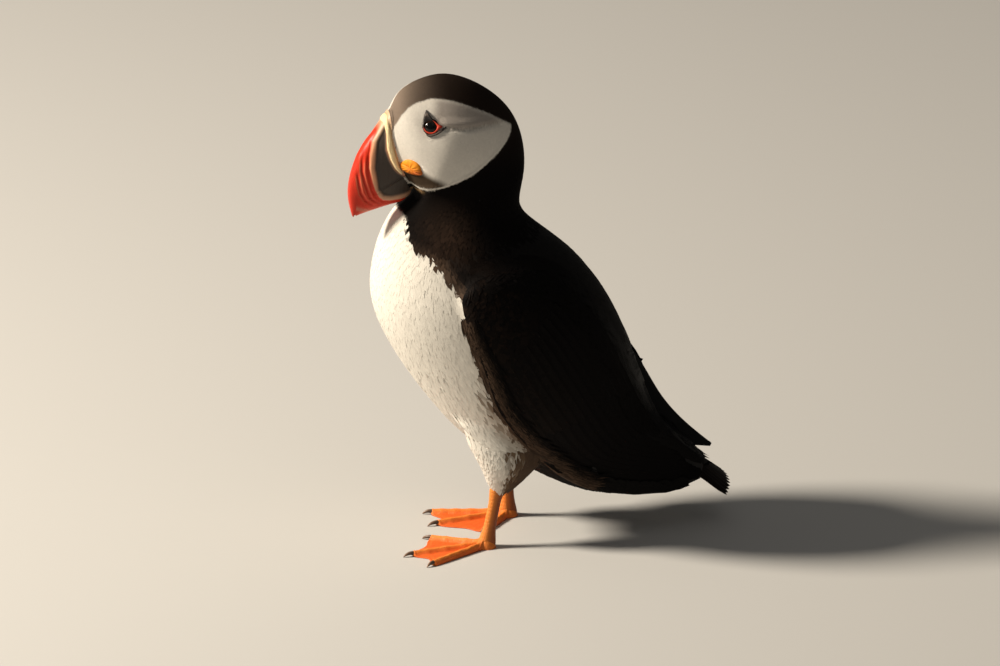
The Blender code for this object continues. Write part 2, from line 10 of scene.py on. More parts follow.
import bpy
import numpy as np
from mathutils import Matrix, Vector


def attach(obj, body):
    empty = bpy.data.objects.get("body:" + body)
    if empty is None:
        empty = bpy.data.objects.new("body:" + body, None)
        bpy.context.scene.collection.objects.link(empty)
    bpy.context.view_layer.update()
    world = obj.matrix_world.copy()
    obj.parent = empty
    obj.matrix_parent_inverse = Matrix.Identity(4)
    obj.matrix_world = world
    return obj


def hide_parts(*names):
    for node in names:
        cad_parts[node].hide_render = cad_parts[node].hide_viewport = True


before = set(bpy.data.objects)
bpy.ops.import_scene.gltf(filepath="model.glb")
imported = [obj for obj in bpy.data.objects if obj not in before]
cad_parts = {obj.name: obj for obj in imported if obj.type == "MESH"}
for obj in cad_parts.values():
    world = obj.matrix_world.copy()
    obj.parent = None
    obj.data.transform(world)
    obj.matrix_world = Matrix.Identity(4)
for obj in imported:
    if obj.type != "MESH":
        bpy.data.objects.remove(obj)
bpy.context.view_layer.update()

MM = 0.001
SIDES = ("left", "right")
FLIP = {"left": np.ones(3), "right": np.array((-1.0, 1.0, 1.0))}
TAU = 2 * math.pi
ROUND = (0, TAU)

# Stations of the body from the bill's base to the tail coverts: dorsal (y, z), ventral (y, z),
# half width, lean of the widest place, and how far the flanks run ahead of the midline.
BODY = np.array((
    (-68.9, 203.6, -58.2, 167, 8.6, 0.00, 3.5),
    (-63.6, 211.8, -57.4, 164.6, 14.6, -0.15, 2.2),
    (-54.6, 216.6, -57.2, 163, 18.6, -0.20, 1),
    (-42.5, 218.2, -57.8, 161.8, 21.4, -0.18, 0),
    (-28.2, 213, -59.2, 160.6, 22.9, -0.12, 0),
    (-15.1, 202.1, -61.4, 159, 23, -0.06, 0),
    (-8.2, 187.5, -64.4, 156.8, 22.6, 0.00, 0),
    (-7.4, 171, -68.4, 152.6, 23.6, 0.02, 0),
    (-9.4, 157.2, -71.9, 146, 28, 0.04, 0),
    (-1.5, 146.3, -75.4, 135, 34.5, 0.04, 0),
    (13.5, 133.6, -77.2, 119, 40, 0.00, 0),
    (28, 116, -72.8, 101.6, 42.8, -0.02, 0),
    (38.6, 95.4, -61, 80.5, 42, -0.02, 0),
    (45.2, 76, -44.3, 58, 38, 0.00, 0),
    (50, 60.5, -25, 41, 30.5, 0.04, 0),
    (55.5, 49.8, 6, 27.6, 21.5, 0.06, 0),
    (62, 42.4, 34, 22.4, 15.5, 0.04, 0),
    (69, 36.6, 58, 20, 11.5, 0.00, 0),
))
BODY_END = len(BODY) - 1.0
# Stations of the bill from its base to its tip: culmen (y, z), keel (y, z), half width,
# forward bow, and the mouth's height from the keel (0) to the culmen (1).
BILL = np.array((
    (-68.9, 203.6, -58.2, 167, 8.4, 3.5, 0.22),
    (-75, 195.6, -62.4, 161.6, 7.6, 2.4, 0.31),
    (-80.7, 188.4, -68.5, 159.6, 6.4, 1.6, 0.30),
    (-84.9, 180.4, -74, 158.2, 5.1, 1, 0.28),
    (-87.4, 172.2, -79, 156.8, 3.8, 0.5, 0.26),
    (-88, 163.8, -82.9, 155.6, 2.6, 0.2, 0.24),
    (-86.2, 155, -85.7, 154.4, 0.8, 0, 0.24),
))
BILL_END = len(BILL) - 1.0
BILL_FULL = 0.72
LOWER_END = 5.55

EYE_AT = (-54.1, 199.5)
EYE_RADIUS = 5.2
EYE_PROUD = 0.8
ROSETTE_AT = (-61.9, 179.7)
ROSETTE_SIZE = (4.2, 3.4)
ROSETTE_TILT = math.radians(-28)
ROSETTE_HIGH = 1.35
CLEFT_DEEP, CLEFT_WIDE = 0.75, 0.42

WING_UPPER = {
    "left": np.array((
        (-44, 126.5), (-34, 133), (-16, 133.5), (2, 124.5), (17, 107),
        (27.5, 88), (36, 70), (44.5, 56.5), (56, 47.5), (67, 38.5), (72.5, 30),
    )),
    "right": np.array((
        (-44, 126.5), (-34, 133), (-16, 134), (2, 126.5), (18, 111.5),
        (31, 95.5), (43, 82), (53, 69.5), (62, 53.5), (73, 39.8), (85.5, 28.6),
    )),
}
WING_LOWER = {
    "left": np.array((
        (-44.6, 124), (-41.5, 112), (-36.5, 99), (-31, 85), (-24, 69),
        (-12, 53), (2, 38), (19, 27.5), (38, 22), (56, 20.5), (71, 24),
    )),
    "right": np.array((
        (-44.6, 124), (-41.5, 112), (-36.5, 99), (-31, 85), (-24, 70),
        (-12, 55), (2, 42), (20, 34), (42, 31), (64, 29), (84.8, 27.2),
    )),
}
WING_STAND_Y = (-24.0, 0.0, 18.0, 40.0, 60.0, 75.0, 90.0)
WING_STAND_X = (0.0, 26.0, 28.5, 25.5, 20.5, 17.5, 14.5)
WING_BLEND = 3.0
WING_THICK = 3.2
WING_EDGE = 0.9
WING_GAP = 0.75

TAIL = np.array((  # y, z, half width and half thickness
    (62, 31.5, 10, 4.2), (70, 28, 13, 3.4), (79, 22.8, 16.4, 2.2), (88.6, 16.8, 19.2, 0.8),
))
TAIL_ROUND = 5.5
TAIL_ROLL = math.radians(6)

HEEL = {"left": (20.5, -29.5), "right": (20.5, -9.0)}
ANKLE = {"left": (19.5, -23.0, 27.0), "right": (19.5, -9.5, 27.0)}
FOOT_TURN = {"left": math.radians(7), "right": math.radians(-10)}
TOES = (("inner", 26.5, -42.0, 4.4), ("middle", 35.5, 0.0, 4.2), ("outer", 35.0, 26.0, 3.8))
TOE_HIGH = 3.0
WEB_HIGH = 0.55
TOE_WIDE = 1.9
WEB_SCALLOP = 0.12
HEEL_RADIUS = 4.6
TARSUS = (2.7, 2.1)
# The feathered thigh from its top down: height, distance out, share of the way back from the
# ankle to the hip, half breadth and half depth.
THIGH = np.array((
    (58, 15.6, 0.92, 11.8, 24.2), (48, 17.6, 1.00, 11.5, 19.2), (40, 19.2, 0.95, 10.3, 14.8),
    (34.5, 19.6, 0.70, 8.2, 11), (30.5, 19.6, 0.46, 6.2, 8.2), (27.4, 19.5, 0.28, 4.5, 5.5),
))
HIP = {"left": -17.6, "right": -14.0}

# Side views (y, z) of the markings and folds of the head and body.
CHEEK = np.array((
    (-71, 186), (-69.5, 194), (-68.3, 197.8), (-65.5, 203), (-62.4, 206.6), (-59.1, 208.7),
    (-52.5, 210.8), (-47.8, 210.6), (-42.4, 209.6), (-38, 208), (-33.2, 206), (-25.8, 202.4),
    (-18.6, 198), (-15, 195.8), (-16, 192.9), (-19.2, 189.4), (-23.2, 186), (-28.9, 182),
    (-35.3, 177.5), (-42.2, 174.3), (-48.4, 172), (-54.8, 169.9), (-58.2, 169.4), (-62, 170.5),
    (-66, 176),
))
CREASE = np.array((
    (-49, 199.2), (-45.3, 198.5), (-40, 198), (-34.4, 198), (-29.3, 198.2), (-21.5, 197.9),
))
DUSKY = np.array((
    (-66, 176.6), (-62, 177.6), (-57.9, 178), (-52.4, 175.4), (-48.5, 173.4), (-45.5, 171.6),
    (-48.5, 169.2), (-57, 167.5), (-63.5, 169),
))
DARK = np.array((
    (-95, 157.8), (-66, 157.6), (-64.3, 156), (-63.8, 150.3), (-63.2, 145.3), (-61, 142.8),
    (-55, 139.3), (-50.5, 133), (-45.9, 126.1), (-42.6, 120.7), (-41, 112), (-37.8, 100),
    (-34, 85.2), (-27, 67), (-17.5, 53.5), (-8, 45), (8, 40), (25, 36.5),
    (45, 32.5), (62, 29.5), (75, 24), (110, 14), (110, 240), (-95, 240),
))

CROWN_BLACK = (0.018, 0.012, 0.009)
BACK_BLACK = (0.0038, 0.0031, 0.0029)
TAIL_BROWN = (0.012, 0.008, 0.006)
# painted sheen: the pale grey-brown standing for gloss on the forehead's dark brown
FOREHEAD_SHEEN_GREY = (0.22, 0.168, 0.130)
CHEEK_WHITE = (0.70, 0.655, 0.585)
CHEEK_GREY = (0.36, 0.32, 0.285)
CHIN_GREY = (0.050, 0.034, 0.022)
BREAST_WHITE = (0.74, 0.70, 0.625)
# the shoulder's brown flecks, partly the plumage's own brown and partly painted sheen
SHOULDER_BROWN_AND_SHEEN = (0.036, 0.021, 0.014)
FRINGE_BROWN = (0.085, 0.054, 0.036)
THIGH_BROWN = (0.15, 0.098, 0.060)
BILL_RED = (0.62, 0.030, 0.008)
BILL_DEEP = (0.40, 0.018, 0.007)
BAND_PEACH = (0.80, 0.37, 0.20)
BAND_CREAM = (0.60, 0.40, 0.25)
# painted shade: the brown of the pale band's lower end
BAND_SHADE = (0.52, 0.29, 0.18)
BILL_GREY = (0.055, 0.042, 0.034)
KEEL_PALE = (0.52, 0.27, 0.18)
TIP_BROWN = (0.26, 0.060, 0.026)
CERE_CREAM = (0.84, 0.66, 0.38)
CERE_TAN = (0.50, 0.31, 0.15)
ROSETTE_YELLOW = (0.80, 0.27, 0.012)
# the rosette's rear orange, partly its own colour and partly painted shade
ROSETTE_ORANGE_AND_SHADE = (0.42, 0.09, 0.007)
RING_RED = (0.60, 0.055, 0.025)
PLATE_GREY = (0.026, 0.020, 0.017)
PLATE_PALE = (0.13, 0.10, 0.08)
PUPIL = (0.003, 0.003, 0.003)
IRIS = (0.018, 0.009, 0.006)
TOE_ORANGE = (0.92, 0.29, 0.045)
WEB_ORANGE = (0.84, 0.135, 0.020)
# the tarsus's own brownish tone, also used as painted shade on its rear, at the heel and on the sole
TARSUS_BROWN_AND_SHADE = (0.28, 0.070, 0.016)
CLAW_DARK = (0.045, 0.028, 0.020)
CLAW_PALE = (0.30, 0.17, 0.10)


# ---- curves and lofts ----

def pack(*parts):
    """Arrays made of one size and set side by side in a new last axis."""
    return np.stack(np.broadcast_arrays(*parts), -1)


def bell(t):
    """exp(-t squared): 1 at 0, and all but gone by 2."""
    return np.exp(-(t**2))


def net(u0, u1, rows, v0, v1, cols):
    """Grids of u, which runs down the rows, and of v, which runs along them."""
    return np.meshgrid(np.linspace(u0, u1, rows), np.linspace(v0, v1, cols), indexing="ij")


def round_net(u0, u1, rows, around):
    """Grids of u and of a full turn, which closes on itself."""
    turn = np.linspace(0, TAU, around, endpoint=False)
    return np.meshgrid(np.linspace(u0, u1, rows), turn, indexing="ij")


def spline(knots, s):
    """The natural cubic spline through the rows of knots, at s counted in rows."""
    knots = np.asarray(knots, float)
    n = len(knots)
    system = 4 * np.eye(n) + np.eye(n, k=1) + np.eye(n, k=-1)
    system[0], system[-1] = np.eye(n)[0], np.eye(n)[-1]
    right = np.zeros_like(knots)
    right[1:-1] = 6 * (knots[2:] - 2 * knots[1:-1] + knots[:-2])
    bend = np.linalg.solve(system, right)
    i = np.clip(np.floor(s).astype(int), 0, n - 2)
    t = (s - i)[..., None]
    r = 1 - t
    curved = ((r**3 - r) * bend[i] + (t**3 - t) * bend[i + 1]) / 6
    return r * knots[i] + t * knots[i + 1] + curved


def section(dorsal, ventral, wide, bow, turn):
    """A point of a section: middle + half the dorsal line times cos(turn), moved ahead by
    bow sin(turn) squared, at the distance wide from the midline."""
    line = dorsal - ventral
    long = np.maximum(np.linalg.norm(line, axis=-1, keepdims=True), 1e-9)
    ahead = pack(-line[..., 1], line[..., 0]) / long
    at = (dorsal + ventral) / 2 + line / 2 * np.cos(turn)[..., None]
    at = at + ahead * (bow * np.sin(turn) ** 2)[..., None]
    return np.concatenate([wide[..., None], at], -1)


def body(s, turn):
    """The body's outline with its plumage: width W sin(turn) (1 + lean cos(turn))."""
    s, turn = np.broadcast_arrays(np.asarray(s, float), np.asarray(turn, float))
    row = spline(BODY, s)
    wide = row[..., 4] * np.sin(turn) * (1 + row[..., 5] * np.cos(turn))
    return section(row[..., 0:2], row[..., 2:4], wide, row[..., 6], turn)


def bill(s, turn):
    """The bill's surface: width W |sin(turn)| to the power BILL_FULL, signed."""
    s, turn = np.broadcast_arrays(np.asarray(s, float), np.asarray(turn, float))
    row = spline(BILL, s)
    sine = np.sin(turn)
    wide = row[..., 4] * np.sign(sine) * np.abs(sine) ** BILL_FULL
    return section(row[..., 0:2], row[..., 2:4], wide, row[..., 5], turn)


def turned(x, y, angle):
    """x and y turned from x towards y."""
    return x * np.cos(angle) - y * np.sin(angle), x * np.sin(angle) + y * np.cos(angle)


def unit(a):
    """Vectors at length 1."""
    return a / np.maximum(np.linalg.norm(a, axis=-1, keepdims=True), 1e-12)


def local_frame(surface, u, v, step=1e-3):
    """Point, slopes along u and v, and the unit normal v x u, by central differences."""
    by_u = (surface(u + step, v) - surface(u - step, v)) / (2 * step)
    by_v = (surface(u, v + step) - surface(u, v - step)) / (2 * step)
    return surface(u, v), by_u, by_v, unit(np.cross(by_v, by_u))


NEWTON_STEPS = 8


def find_on_body(y, z):
    """The parameters of the left flank's point with the side view (y, z), by Newton steps
    from the nearest of a coarse net of points."""
    y, z = np.broadcast_arrays(np.asarray(y, float), np.asarray(z, float))
    s, turn = (grid.ravel() for grid in net(0, BODY_END, 140, 0.05, math.pi - 0.05, 40))
    at = body(s, turn)
    nearest = np.argmin((at[:, 1] - y[..., None]) ** 2 + (at[:, 2] - z[..., None]) ** 2, axis=-1)
    s, turn = s[nearest], turn[nearest]
    step = 1e-4
    for _ in range(NEWTON_STEPS):
        here = body(s, turn)[..., 1:]
        by_s = (body(s + step, turn)[..., 1:] - here) / step
        by_turn = (body(s, turn + step)[..., 1:] - here) / step
        miss = pack(y, z) - here
        area = by_s[..., 0] * by_turn[..., 1] - by_s[..., 1] * by_turn[..., 0]
        area = np.where(np.abs(area) < 1e-6, 1e-6, area)
        move_s = (miss[..., 0] * by_turn[..., 1] - miss[..., 1] * by_turn[..., 0]) / area
        move_turn = (by_s[..., 0] * miss[..., 1] - by_s[..., 1] * miss[..., 0]) / area
        s = np.clip(s + np.clip(move_s, -0.3, 0.3), 0, BODY_END)
        turn = np.clip(turn + np.clip(move_turn, -0.2, 0.2), 0.02, math.pi - 0.02)
    return s, turn


def on_flank(y, z):
    """The left flank's point with the side view (y, z), and its unit normal."""
    at, _, _, out = local_frame(body, *find_on_body(y, z))
    return at, out


def from_line(line, y, z):
    """Distance from (y, z) to a polyline, and the share of its corners passed there."""
    a, step = line[:-1], np.diff(line, axis=0)
    at = pack(y, z)[..., None, :]
    t = np.clip(((at - a) * step).sum(-1) / (step**2).sum(-1), 0, 1)
    away = np.linalg.norm(at - a - t[..., None] * step, axis=-1)
    k = away.argmin(-1)[..., None]
    share = (k + np.take_along_axis(t, k, -1)) / len(a)
    return np.take_along_axis(away, k, -1)[..., 0], share[..., 0]


def inside(outline, y, z):
    """Signed distance to a closed outline, positive inside, by counting crossed edges."""
    ring = np.concatenate([outline, outline[:1]])
    away, _ = from_line(ring, y, z)
    a, b = ring[:-1], ring[1:]
    y, z = np.asarray(y)[..., None], np.asarray(z)[..., None]
    level = np.where(a[:, 1] == b[:, 1], 1e-9, b[:, 1] - a[:, 1])
    crosses = ((a[:, 1] > z) != (b[:, 1] > z)) & (y < (b[:, 0] - a[:, 0]) * (z - a[:, 1]) / level + a[:, 0])
    return np.where(crosses.sum(-1) % 2 == 1, away, -away)


def between(grid, u, v):
    """The value of a grid at (u, v) counted in knots, straight between the four round it and
    running on past its edges."""
    i = np.clip(u.astype(int), 0, grid.shape[0] - 2)
    j = np.clip(v.astype(int), 0, grid.shape[1] - 2)
    u, v = u - i, v - j
    if grid.ndim == 3:
        u, v = u[..., None], v[..., None]
    near = grid[i, j] * (1 - v) + grid[i, j + 1] * v
    far = grid[i + 1, j] * (1 - v) + grid[i + 1, j + 1] * v
    return near * (1 - u) + far * u


def soft(value, low, high):
    """Smoothstep from 0 at low to 1 at high."""
    t = np.clip((value - low) / (high - low), 0, 1)
    return t * t * (3 - 2 * t)


def mix(a, b, share):
    """The colour that lies that share of the way from a to b."""
    return np.asarray(a) + (np.asarray(b) - np.asarray(a)) * np.asarray(share)[..., None]


# ---- meshes ----

CRISP_ANGLE = math.radians(75)


def triangles_of_grid(rows, cols, wrap=False):
    """Two triangles for each cell of a grid of points, in rows; wrap joins its last column
    to its first."""
    k = np.arange(rows * cols).reshape(rows, cols)
    if wrap:
        k = np.concatenate([k, k[:, :1]], 1)
    a, b, c, d = k[:-1, :-1], k[:-1, 1:], k[1:, 1:], k[1:, :-1]
    return np.concatenate([pack(a, b, c).reshape(-1, 3), pack(a, c, d).reshape(-1, 3)])


def tube(rings):
    """Points and triangles of a closed loft of rings (rows, around, 3), its ends fanned from
    their middles."""
    rows, around = rings.shape[:2]
    points = np.concatenate([rings.reshape(-1, 3), rings[:1].mean(1), rings[-1:].mean(1)])
    k, m = np.arange(around), rows * around
    first = pack(np.full(around, m), (k + 1) % around, k)
    last = pack(np.full(around, m + 1), m - around + k, m - around + (k + 1) % around)
    return points, np.concatenate([triangles_of_grid(rows, around, wrap=True), first, last])


def slab(outer, inner):
    """Points and triangles of a closed plate between two grids of one size, with its rim."""
    n, m = outer.shape[:2]
    face = triangles_of_grid(n, m)
    k = np.arange(n * m).reshape(n, m)
    rim = np.concatenate([k[0, :], k[1:, -1], k[-1, -2::-1], k[-2:0:-1, 0]])
    after = np.roll(rim, -1)
    under = rim + n * m
    sides = (pack(after, rim, under), pack(after, under, after + n * m))
    points = np.concatenate([outer.reshape(-1, 3), inner.reshape(-1, 3)])
    return points, np.concatenate([face, face[:, ::-1] + n * m, *sides])


def joined(parts):
    """One (points, triangles) from several, each turned to face out."""
    starts = np.cumsum([0] + [len(p) for p, _ in parts[:-1]])
    return (np.concatenate([p for p, _ in parts]),
            np.concatenate([facing_out(p, t) + k for (p, t), k in zip(parts, starts)]))


def facing_out(points, triangles):
    """The triangles, turned over if they enclose a negative volume."""
    a, b, c = (points[triangles[:, k]] for k in range(3))
    return triangles if (a * np.cross(b, c)).sum() > 0 else triangles[:, ::-1]


def put(name, data):
    """A new object in the scene."""
    made = bpy.data.objects.new(name, data)
    bpy.context.scene.collection.objects.link(made)
    return made


def make_piece(name, shape, material, slot, tint, maps=(), replaces=(), crisp=False):
    """An object from points in millimetres and triangles, with a colour for each point and
    named maps of two numbers for each point. It rides on the bird and stands for nodes. If it
    is crisp, shading breaks where it folds back on itself, as at the rim of a vane."""
    points, triangles = shape
    triangles = facing_out(points, triangles)
    mesh = bpy.data.meshes.new(name)
    mesh.vertices.add(len(points))
    mesh.vertices.foreach_set("co", (points * MM).astype(np.float32).ravel())
    mesh.loops.add(triangles.size)
    mesh.loops.foreach_set("vertex_index", triangles.astype(np.int32).ravel())
    mesh.polygons.add(len(triangles))
    mesh.polygons.foreach_set("loop_start", np.arange(0, triangles.size, 3, dtype=np.int32))
    mesh.update(calc_edges=True)
    mesh.validate()
    mesh.shade_smooth()
    if crisp:
        mesh.set_sharp_from_angle(angle=CRISP_ANGLE)
    colour = np.ones((len(points), 4), np.float32)
    colour[:, :3] = tint
    mesh.attributes.new("tint", "FLOAT_COLOR", "POINT").data.foreach_set("color", colour.ravel())
    for label, values in maps:
        layer = mesh.uv_layers.new(name=label)
        layer.uv.foreach_set("vector", values[triangles.ravel()].astype(np.float32).ravel())
    mesh.materials.append(material)
    made = put(name, mesh)
    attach(made, "root")
    if replaces:
        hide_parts(*replaces)


def make_pairs(*pairs):
    """Pieces given for the left, and their mirror images: name, points and triangles,
    material, slot (not used), colours, and the name of the nodes that they stand for, if any."""
    for side in SIDES:
        for name, (points, triangles), material, slot, tint, old in pairs:
            make_piece(f"{name}_{side}", (points * FLIP[side], triangles), material, slot, tint,
                       replaces=(f"{old}_{side}",) if old else ())


# ---- finishes ----

def group(name, labels, build):
    """A shader node group: build(tree, inputs) gives its outputs by label. A Place is a
    vector, a Colour is a colour and anything else is a number."""
    made = bpy.data.node_groups.new(name, "ShaderNodeTree")

    def add_socket(label, way):
        kind = {"Place": "Vector", "Colour": "Color"}.get(label, "Float")
        made.interface.new_socket(label, in_out=way, socket_type="NodeSocket" + kind)

    for label in labels:
        add_socket(label, "INPUT")
    results = build(made, made.nodes.new("NodeGroupInput").outputs)
    for label in results:
        add_socket(label, "OUTPUT")
    end = made.nodes.new("NodeGroupOutput")
    for label, value in results.items():
        made.links.new(value, end.inputs[label])
    return made


def node(tree, kind, inputs=(), **settings):
    """A node with settings, whose inputs are constants or links from sockets."""
    made = tree.nodes.new("ShaderNode" + kind)
    for key, value in settings.items():
        setattr(made, key, value)
    for key, value in dict(inputs).items():
        if isinstance(value, bpy.types.NodeSocket):
            tree.links.new(value, made.inputs[key])
        else:
            made.inputs[key].default_value = value
    return made


def maths(tree, operation, a, b=0.0):
    """The result of one arithmetic node."""
    return node(tree, "Math", {0: a, 1: b}, operation=operation).outputs[0]


def build_barbs(tree, given):
    """Barbs slant from the shaft to both edges: height = half the sine of (t + slope
    |w|) times their number, with a ridge along the shaft."""
    at = node(tree, "SeparateXYZ", {0: given["Place"]})
    from_shaft = maths(tree, "ABSOLUTE", maths(tree, "SUBTRACT", at.outputs[0], 0.5))
    slanted = maths(tree, "ADD", at.outputs[1], maths(tree, "MULTIPLY", from_shaft, -0.8))
    wave = maths(tree, "SINE", maths(tree, "MULTIPLY", slanted, given["Scale"]))
    shaft = maths(tree, "SUBTRACT", 1.0, maths(tree, "MULTIPLY", from_shaft, 22.0))
    shaft = maths(tree, "MULTIPLY", maths(tree, "MAXIMUM", shaft, 0.0), 1.5)
    return {"Height": maths(tree, "ADD", maths(tree, "MULTIPLY", wave, 0.5), shaft)}


def build_mottle(tree, given):
    """Colour times 1 +- amount by noise of that scale."""
    noise = node(tree, "TexNoise", {"Vector": given["Place"], "Scale": given["Scale"], "Detail": 4.0})
    swing = maths(tree, "MULTIPLY", maths(tree, "SUBTRACT", noise.outputs[0], 0.5), given["Amount"])
    factor = maths(tree, "ADD", 1.0, maths(tree, "MULTIPLY", swing, 2.0))
    scaled = node(tree, "VectorMath", {0: given["Colour"], "Scale": factor}, operation="SCALE")
    return {"Colour": scaled.outputs[0], "Grain": noise.outputs[0]}


def build_scutes(tree, given):
    """Small plates parted by creases: distance to the edges of Voronoi cells."""
    cells = node(tree, "TexVoronoi", {"Vector": given["Place"], "Scale": given["Scale"]},
                 feature="DISTANCE_TO_EDGE")
    plate = node(tree, "MapRange", {0: cells.outputs["Distance"], 2: 0.14}, interpolation_type="SMOOTHSTEP")
    fine = node(tree, "TexNoise", {"Vector": given["Place"], "Scale": 4200.0, "Detail": 3.0})
    return {"Height": maths(tree, "ADD", plate.outputs[0], maths(tree, "MULTIPLY", fine.outputs[0], 0.35))}


def build_growth(tree, given):
    """Horn grows in fine uneven layers: bands along one direction, bent by noise."""
    bands = node(tree, "TexWave", {
        "Vector": given["Place"], "Scale": given["Scale"], "Distortion": 3.0, "Detail": 3.0,
        "Detail Scale": 1.5}, wave_type="BANDS", bands_direction="Y")
    fine = node(tree, "TexNoise", {"Vector": given["Place"], "Scale": 2600.0, "Detail": 4.0})
    banded = maths(tree, "MULTIPLY", bands.outputs["Fac"], 0.6)
    return {"Height": maths(tree, "ADD", banded, fine.outputs[0])}


BARBS = group("barbs", ("Place", "Scale"), build_barbs)
MOTTLE = group("mottle", ("Place", "Colour", "Scale", "Amount"), build_mottle)
SCUTES = group("scutes", ("Place", "Scale"), build_scutes)
GROWTH = group("growth", ("Place", "Scale"), build_growth)
ROUGH_SWING = 0.15


def finish(name, rough, mottle_scale, mottle_amount, specular=0.5, relief=None, bump=0.3, bump_mm=0.05,
           **plain):
    """A Principled material whose colour is the piece's tint, mottled; relief is a group and
    its scale for the bump, and the mottle's grain varies the roughness."""
    made = bpy.data.materials.new(name)
    made.use_nodes = True
    tree = made.node_tree
    shader = tree.nodes["Principled BSDF"]
    for key, value in {"Specular_IOR_Level": specular, **plain}.items():
        shader.inputs[key.replace("_", " ")].default_value = value
    place = node(tree, "TexCoord").outputs["Object"]
    tint = node(tree, "Attribute", attribute_name="tint").outputs["Color"]
    mottled = node(tree, "Group", {
        "Place": place, "Colour": tint, "Scale": mottle_scale, "Amount": mottle_amount}, node_tree=MOTTLE)
    tree.links.new(mottled.outputs["Colour"], shader.inputs["Base Color"])
    swing = maths(tree, "MULTIPLY", maths(tree, "SUBTRACT", mottled.outputs["Grain"], 0.5), ROUGH_SWING)
    tree.links.new(maths(tree, "ADD", swing, rough), shader.inputs["Roughness"])
    if relief:
        if relief[0] == BARBS:
            place = node(tree, "UVMap", uv_map="vane").outputs[0]
        high = node(tree, "Group", {"Place": place, "Scale": relief[1]}, node_tree=relief[0])
        raised = node(tree, "Bump", {
            "Strength": bump, "Distance": bump_mm * MM, "Height": high.outputs["Height"]})
        tree.links.new(raised.outputs[0], shader.inputs["Normal"])
    return made


# ---- markings and folds, with painted shade, sheen and highlights ----

def charted(value, low, high, step):
    """A function of (y, z) looked up, straight between knots, in a chart of value worked out
    once over the box from low to high."""
    knots = (a + step * np.arange(int((b - a) / step) + 2) for a, b in zip(low, high))
    return from_chart(value(*np.meshgrid(*knots, indexing="ij")), low, step)


def chart_inside(outline, low, high, step):
    """A chart of the signed distance to an outline."""
    return charted(lambda y, z: inside(outline, y, z), low, high, step)


def from_chart(chart, low, step):
    """A function of (y, z) that looks up a chart, held at its edges."""
    def look_up(y, z):
        y = np.clip((y - low[0]) / step, 0, chart.shape[0] - 1)
        z = np.clip((z - low[1]) / step, 0, chart.shape[1] - 1)
        return between(chart, y, z)
    return look_up


HEAD_BOX = ((-92.0, 150.0), (2.0, 222.0), 0.4)
in_cheek = chart_inside(CHEEK, *HEAD_BOX)
in_dusky = chart_inside(DUSKY, *HEAD_BOX)
in_dark = chart_inside(DARK, (-100.0, 0.0), (110.0, 225.0), 0.8)
from_crease = charted(lambda y, z: from_line(CREASE, y, z)[0], *HEAD_BOX)


def cheek_depth(x, y, z):
    """How far a place lies inside the cheek patch, which on the right reaches further up and
    all but to the midline over the bill."""
    raised = in_cheek(y, z - 7.5 * soft(-x, 1, 2.5) * soft(10 + x, 0, 4) * soft(-y, 50, 62))
    over_bill = np.minimum(-x - 0.5 - 0.3 * np.maximum(z - 206, 0), np.minimum(z - 199, 213 - z))
    return np.maximum(raised, np.minimum(over_bill, -y - 58))


def from_eye(y, z):
    """Distance from the middle of the eye in the side view."""
    return np.hypot(y - EYE_AT[0], z - EYE_AT[1])


def above_crease(y, z):
    """Height over the crease behind the eye."""
    return z - np.interp(y, CREASE[:, 0], CREASE[:, 1])


GROOVE_DEEP, GROOVE_WIDE = 0.75, 1.05
ROLL_HIGH, ROLL_WIDE, ROLL_AT = 0.55, 1.8, 2.2
RIM_HIGH, RIM_WIDE = 0.5, 0.8
EYE_HOLLOW, EYE_HOLLOW_WIDE = 0.7, 5.0


def face_relief(p):
    """Folds over the smooth head: a groove along the crease with a roll above it, a raised
    rim round the cheek patch behind and below, and a hollow round the eye."""
    x, y, z = np.moveaxis(p, -1, 0)
    on_head = soft(z, 158, 164) * soft(-y, 5, 12)
    away, above = from_crease(y, z), above_crease(y, z)
    behind_eye = soft(y, -50.5, -46.5)
    fade = 0.35 + 0.65 * soft(-y, 18, 40)
    groove = -GROOVE_DEEP * bell(away / GROOVE_WIDE) * fade
    roll = ROLL_HIGH * bell((away - ROLL_AT) / ROLL_WIDE) * (above > 0) * behind_eye * fade
    cheek = cheek_depth(x, y, z)
    low_rim = soft(197 - z, 0, 14) * soft(y, -62, -54)
    rim = RIM_HIGH * bell((cheek - 0.7) / RIM_WIDE) - 0.35 * soft(-cheek, -0.3, 1.2) * soft(cheek, -7, -2)
    hollow = -EYE_HOLLOW * bell(from_eye(y, z) / EYE_HOLLOW_WIDE)
    return on_head * (groove + roll + rim * low_rim + hollow)


SHOULDER_AT, SHOULDER_SIZE = (-47.0, 149.0), (11.0, 13.0)
GAPE_AT, GAPE_WAY = (-66.0, 165.0), (0.942, 0.334)


def dark_colour(x, y, z, depth, fleck):
    """Black, browner on the crown, grey on the forehead as painted sheen over its dark brown, and
    brown-flecked at the shoulder, partly the plumage's own brown and partly painted sheen, and
    within 7 mm of the flank's edge."""
    colour = mix(BACK_BLACK, CROWN_BLACK, soft(z, 172, 205))
    # painted sheen: the forehead pales to grey-brown towards the bill
    colour = mix(colour, FOREHEAD_SHEEN_GREY, np.clip((-y - 42) / 24, 0, 1) ** 2.1 * soft(z, 188, 197))
    # brown flecks at the shoulder: partly the plumage's own brown, partly painted sheen
    off = ((y - SHOULDER_AT[0]) / SHOULDER_SIZE[0]) ** 2 + ((z - SHOULDER_AT[1]) / SHOULDER_SIZE[1]) ** 2
    shoulder = np.exp(-off) * soft(np.abs(x), 8, 20)
    colour = mix(colour, SHOULDER_BROWN_AND_SHEEN, shoulder * (0.35 + 0.4 * fleck))
    return mix(colour, FRINGE_BROWN, soft(7.0 - depth, 0, 5) * soft(150 - z, 0, 14) * (0.5 + 0.5 * fleck))


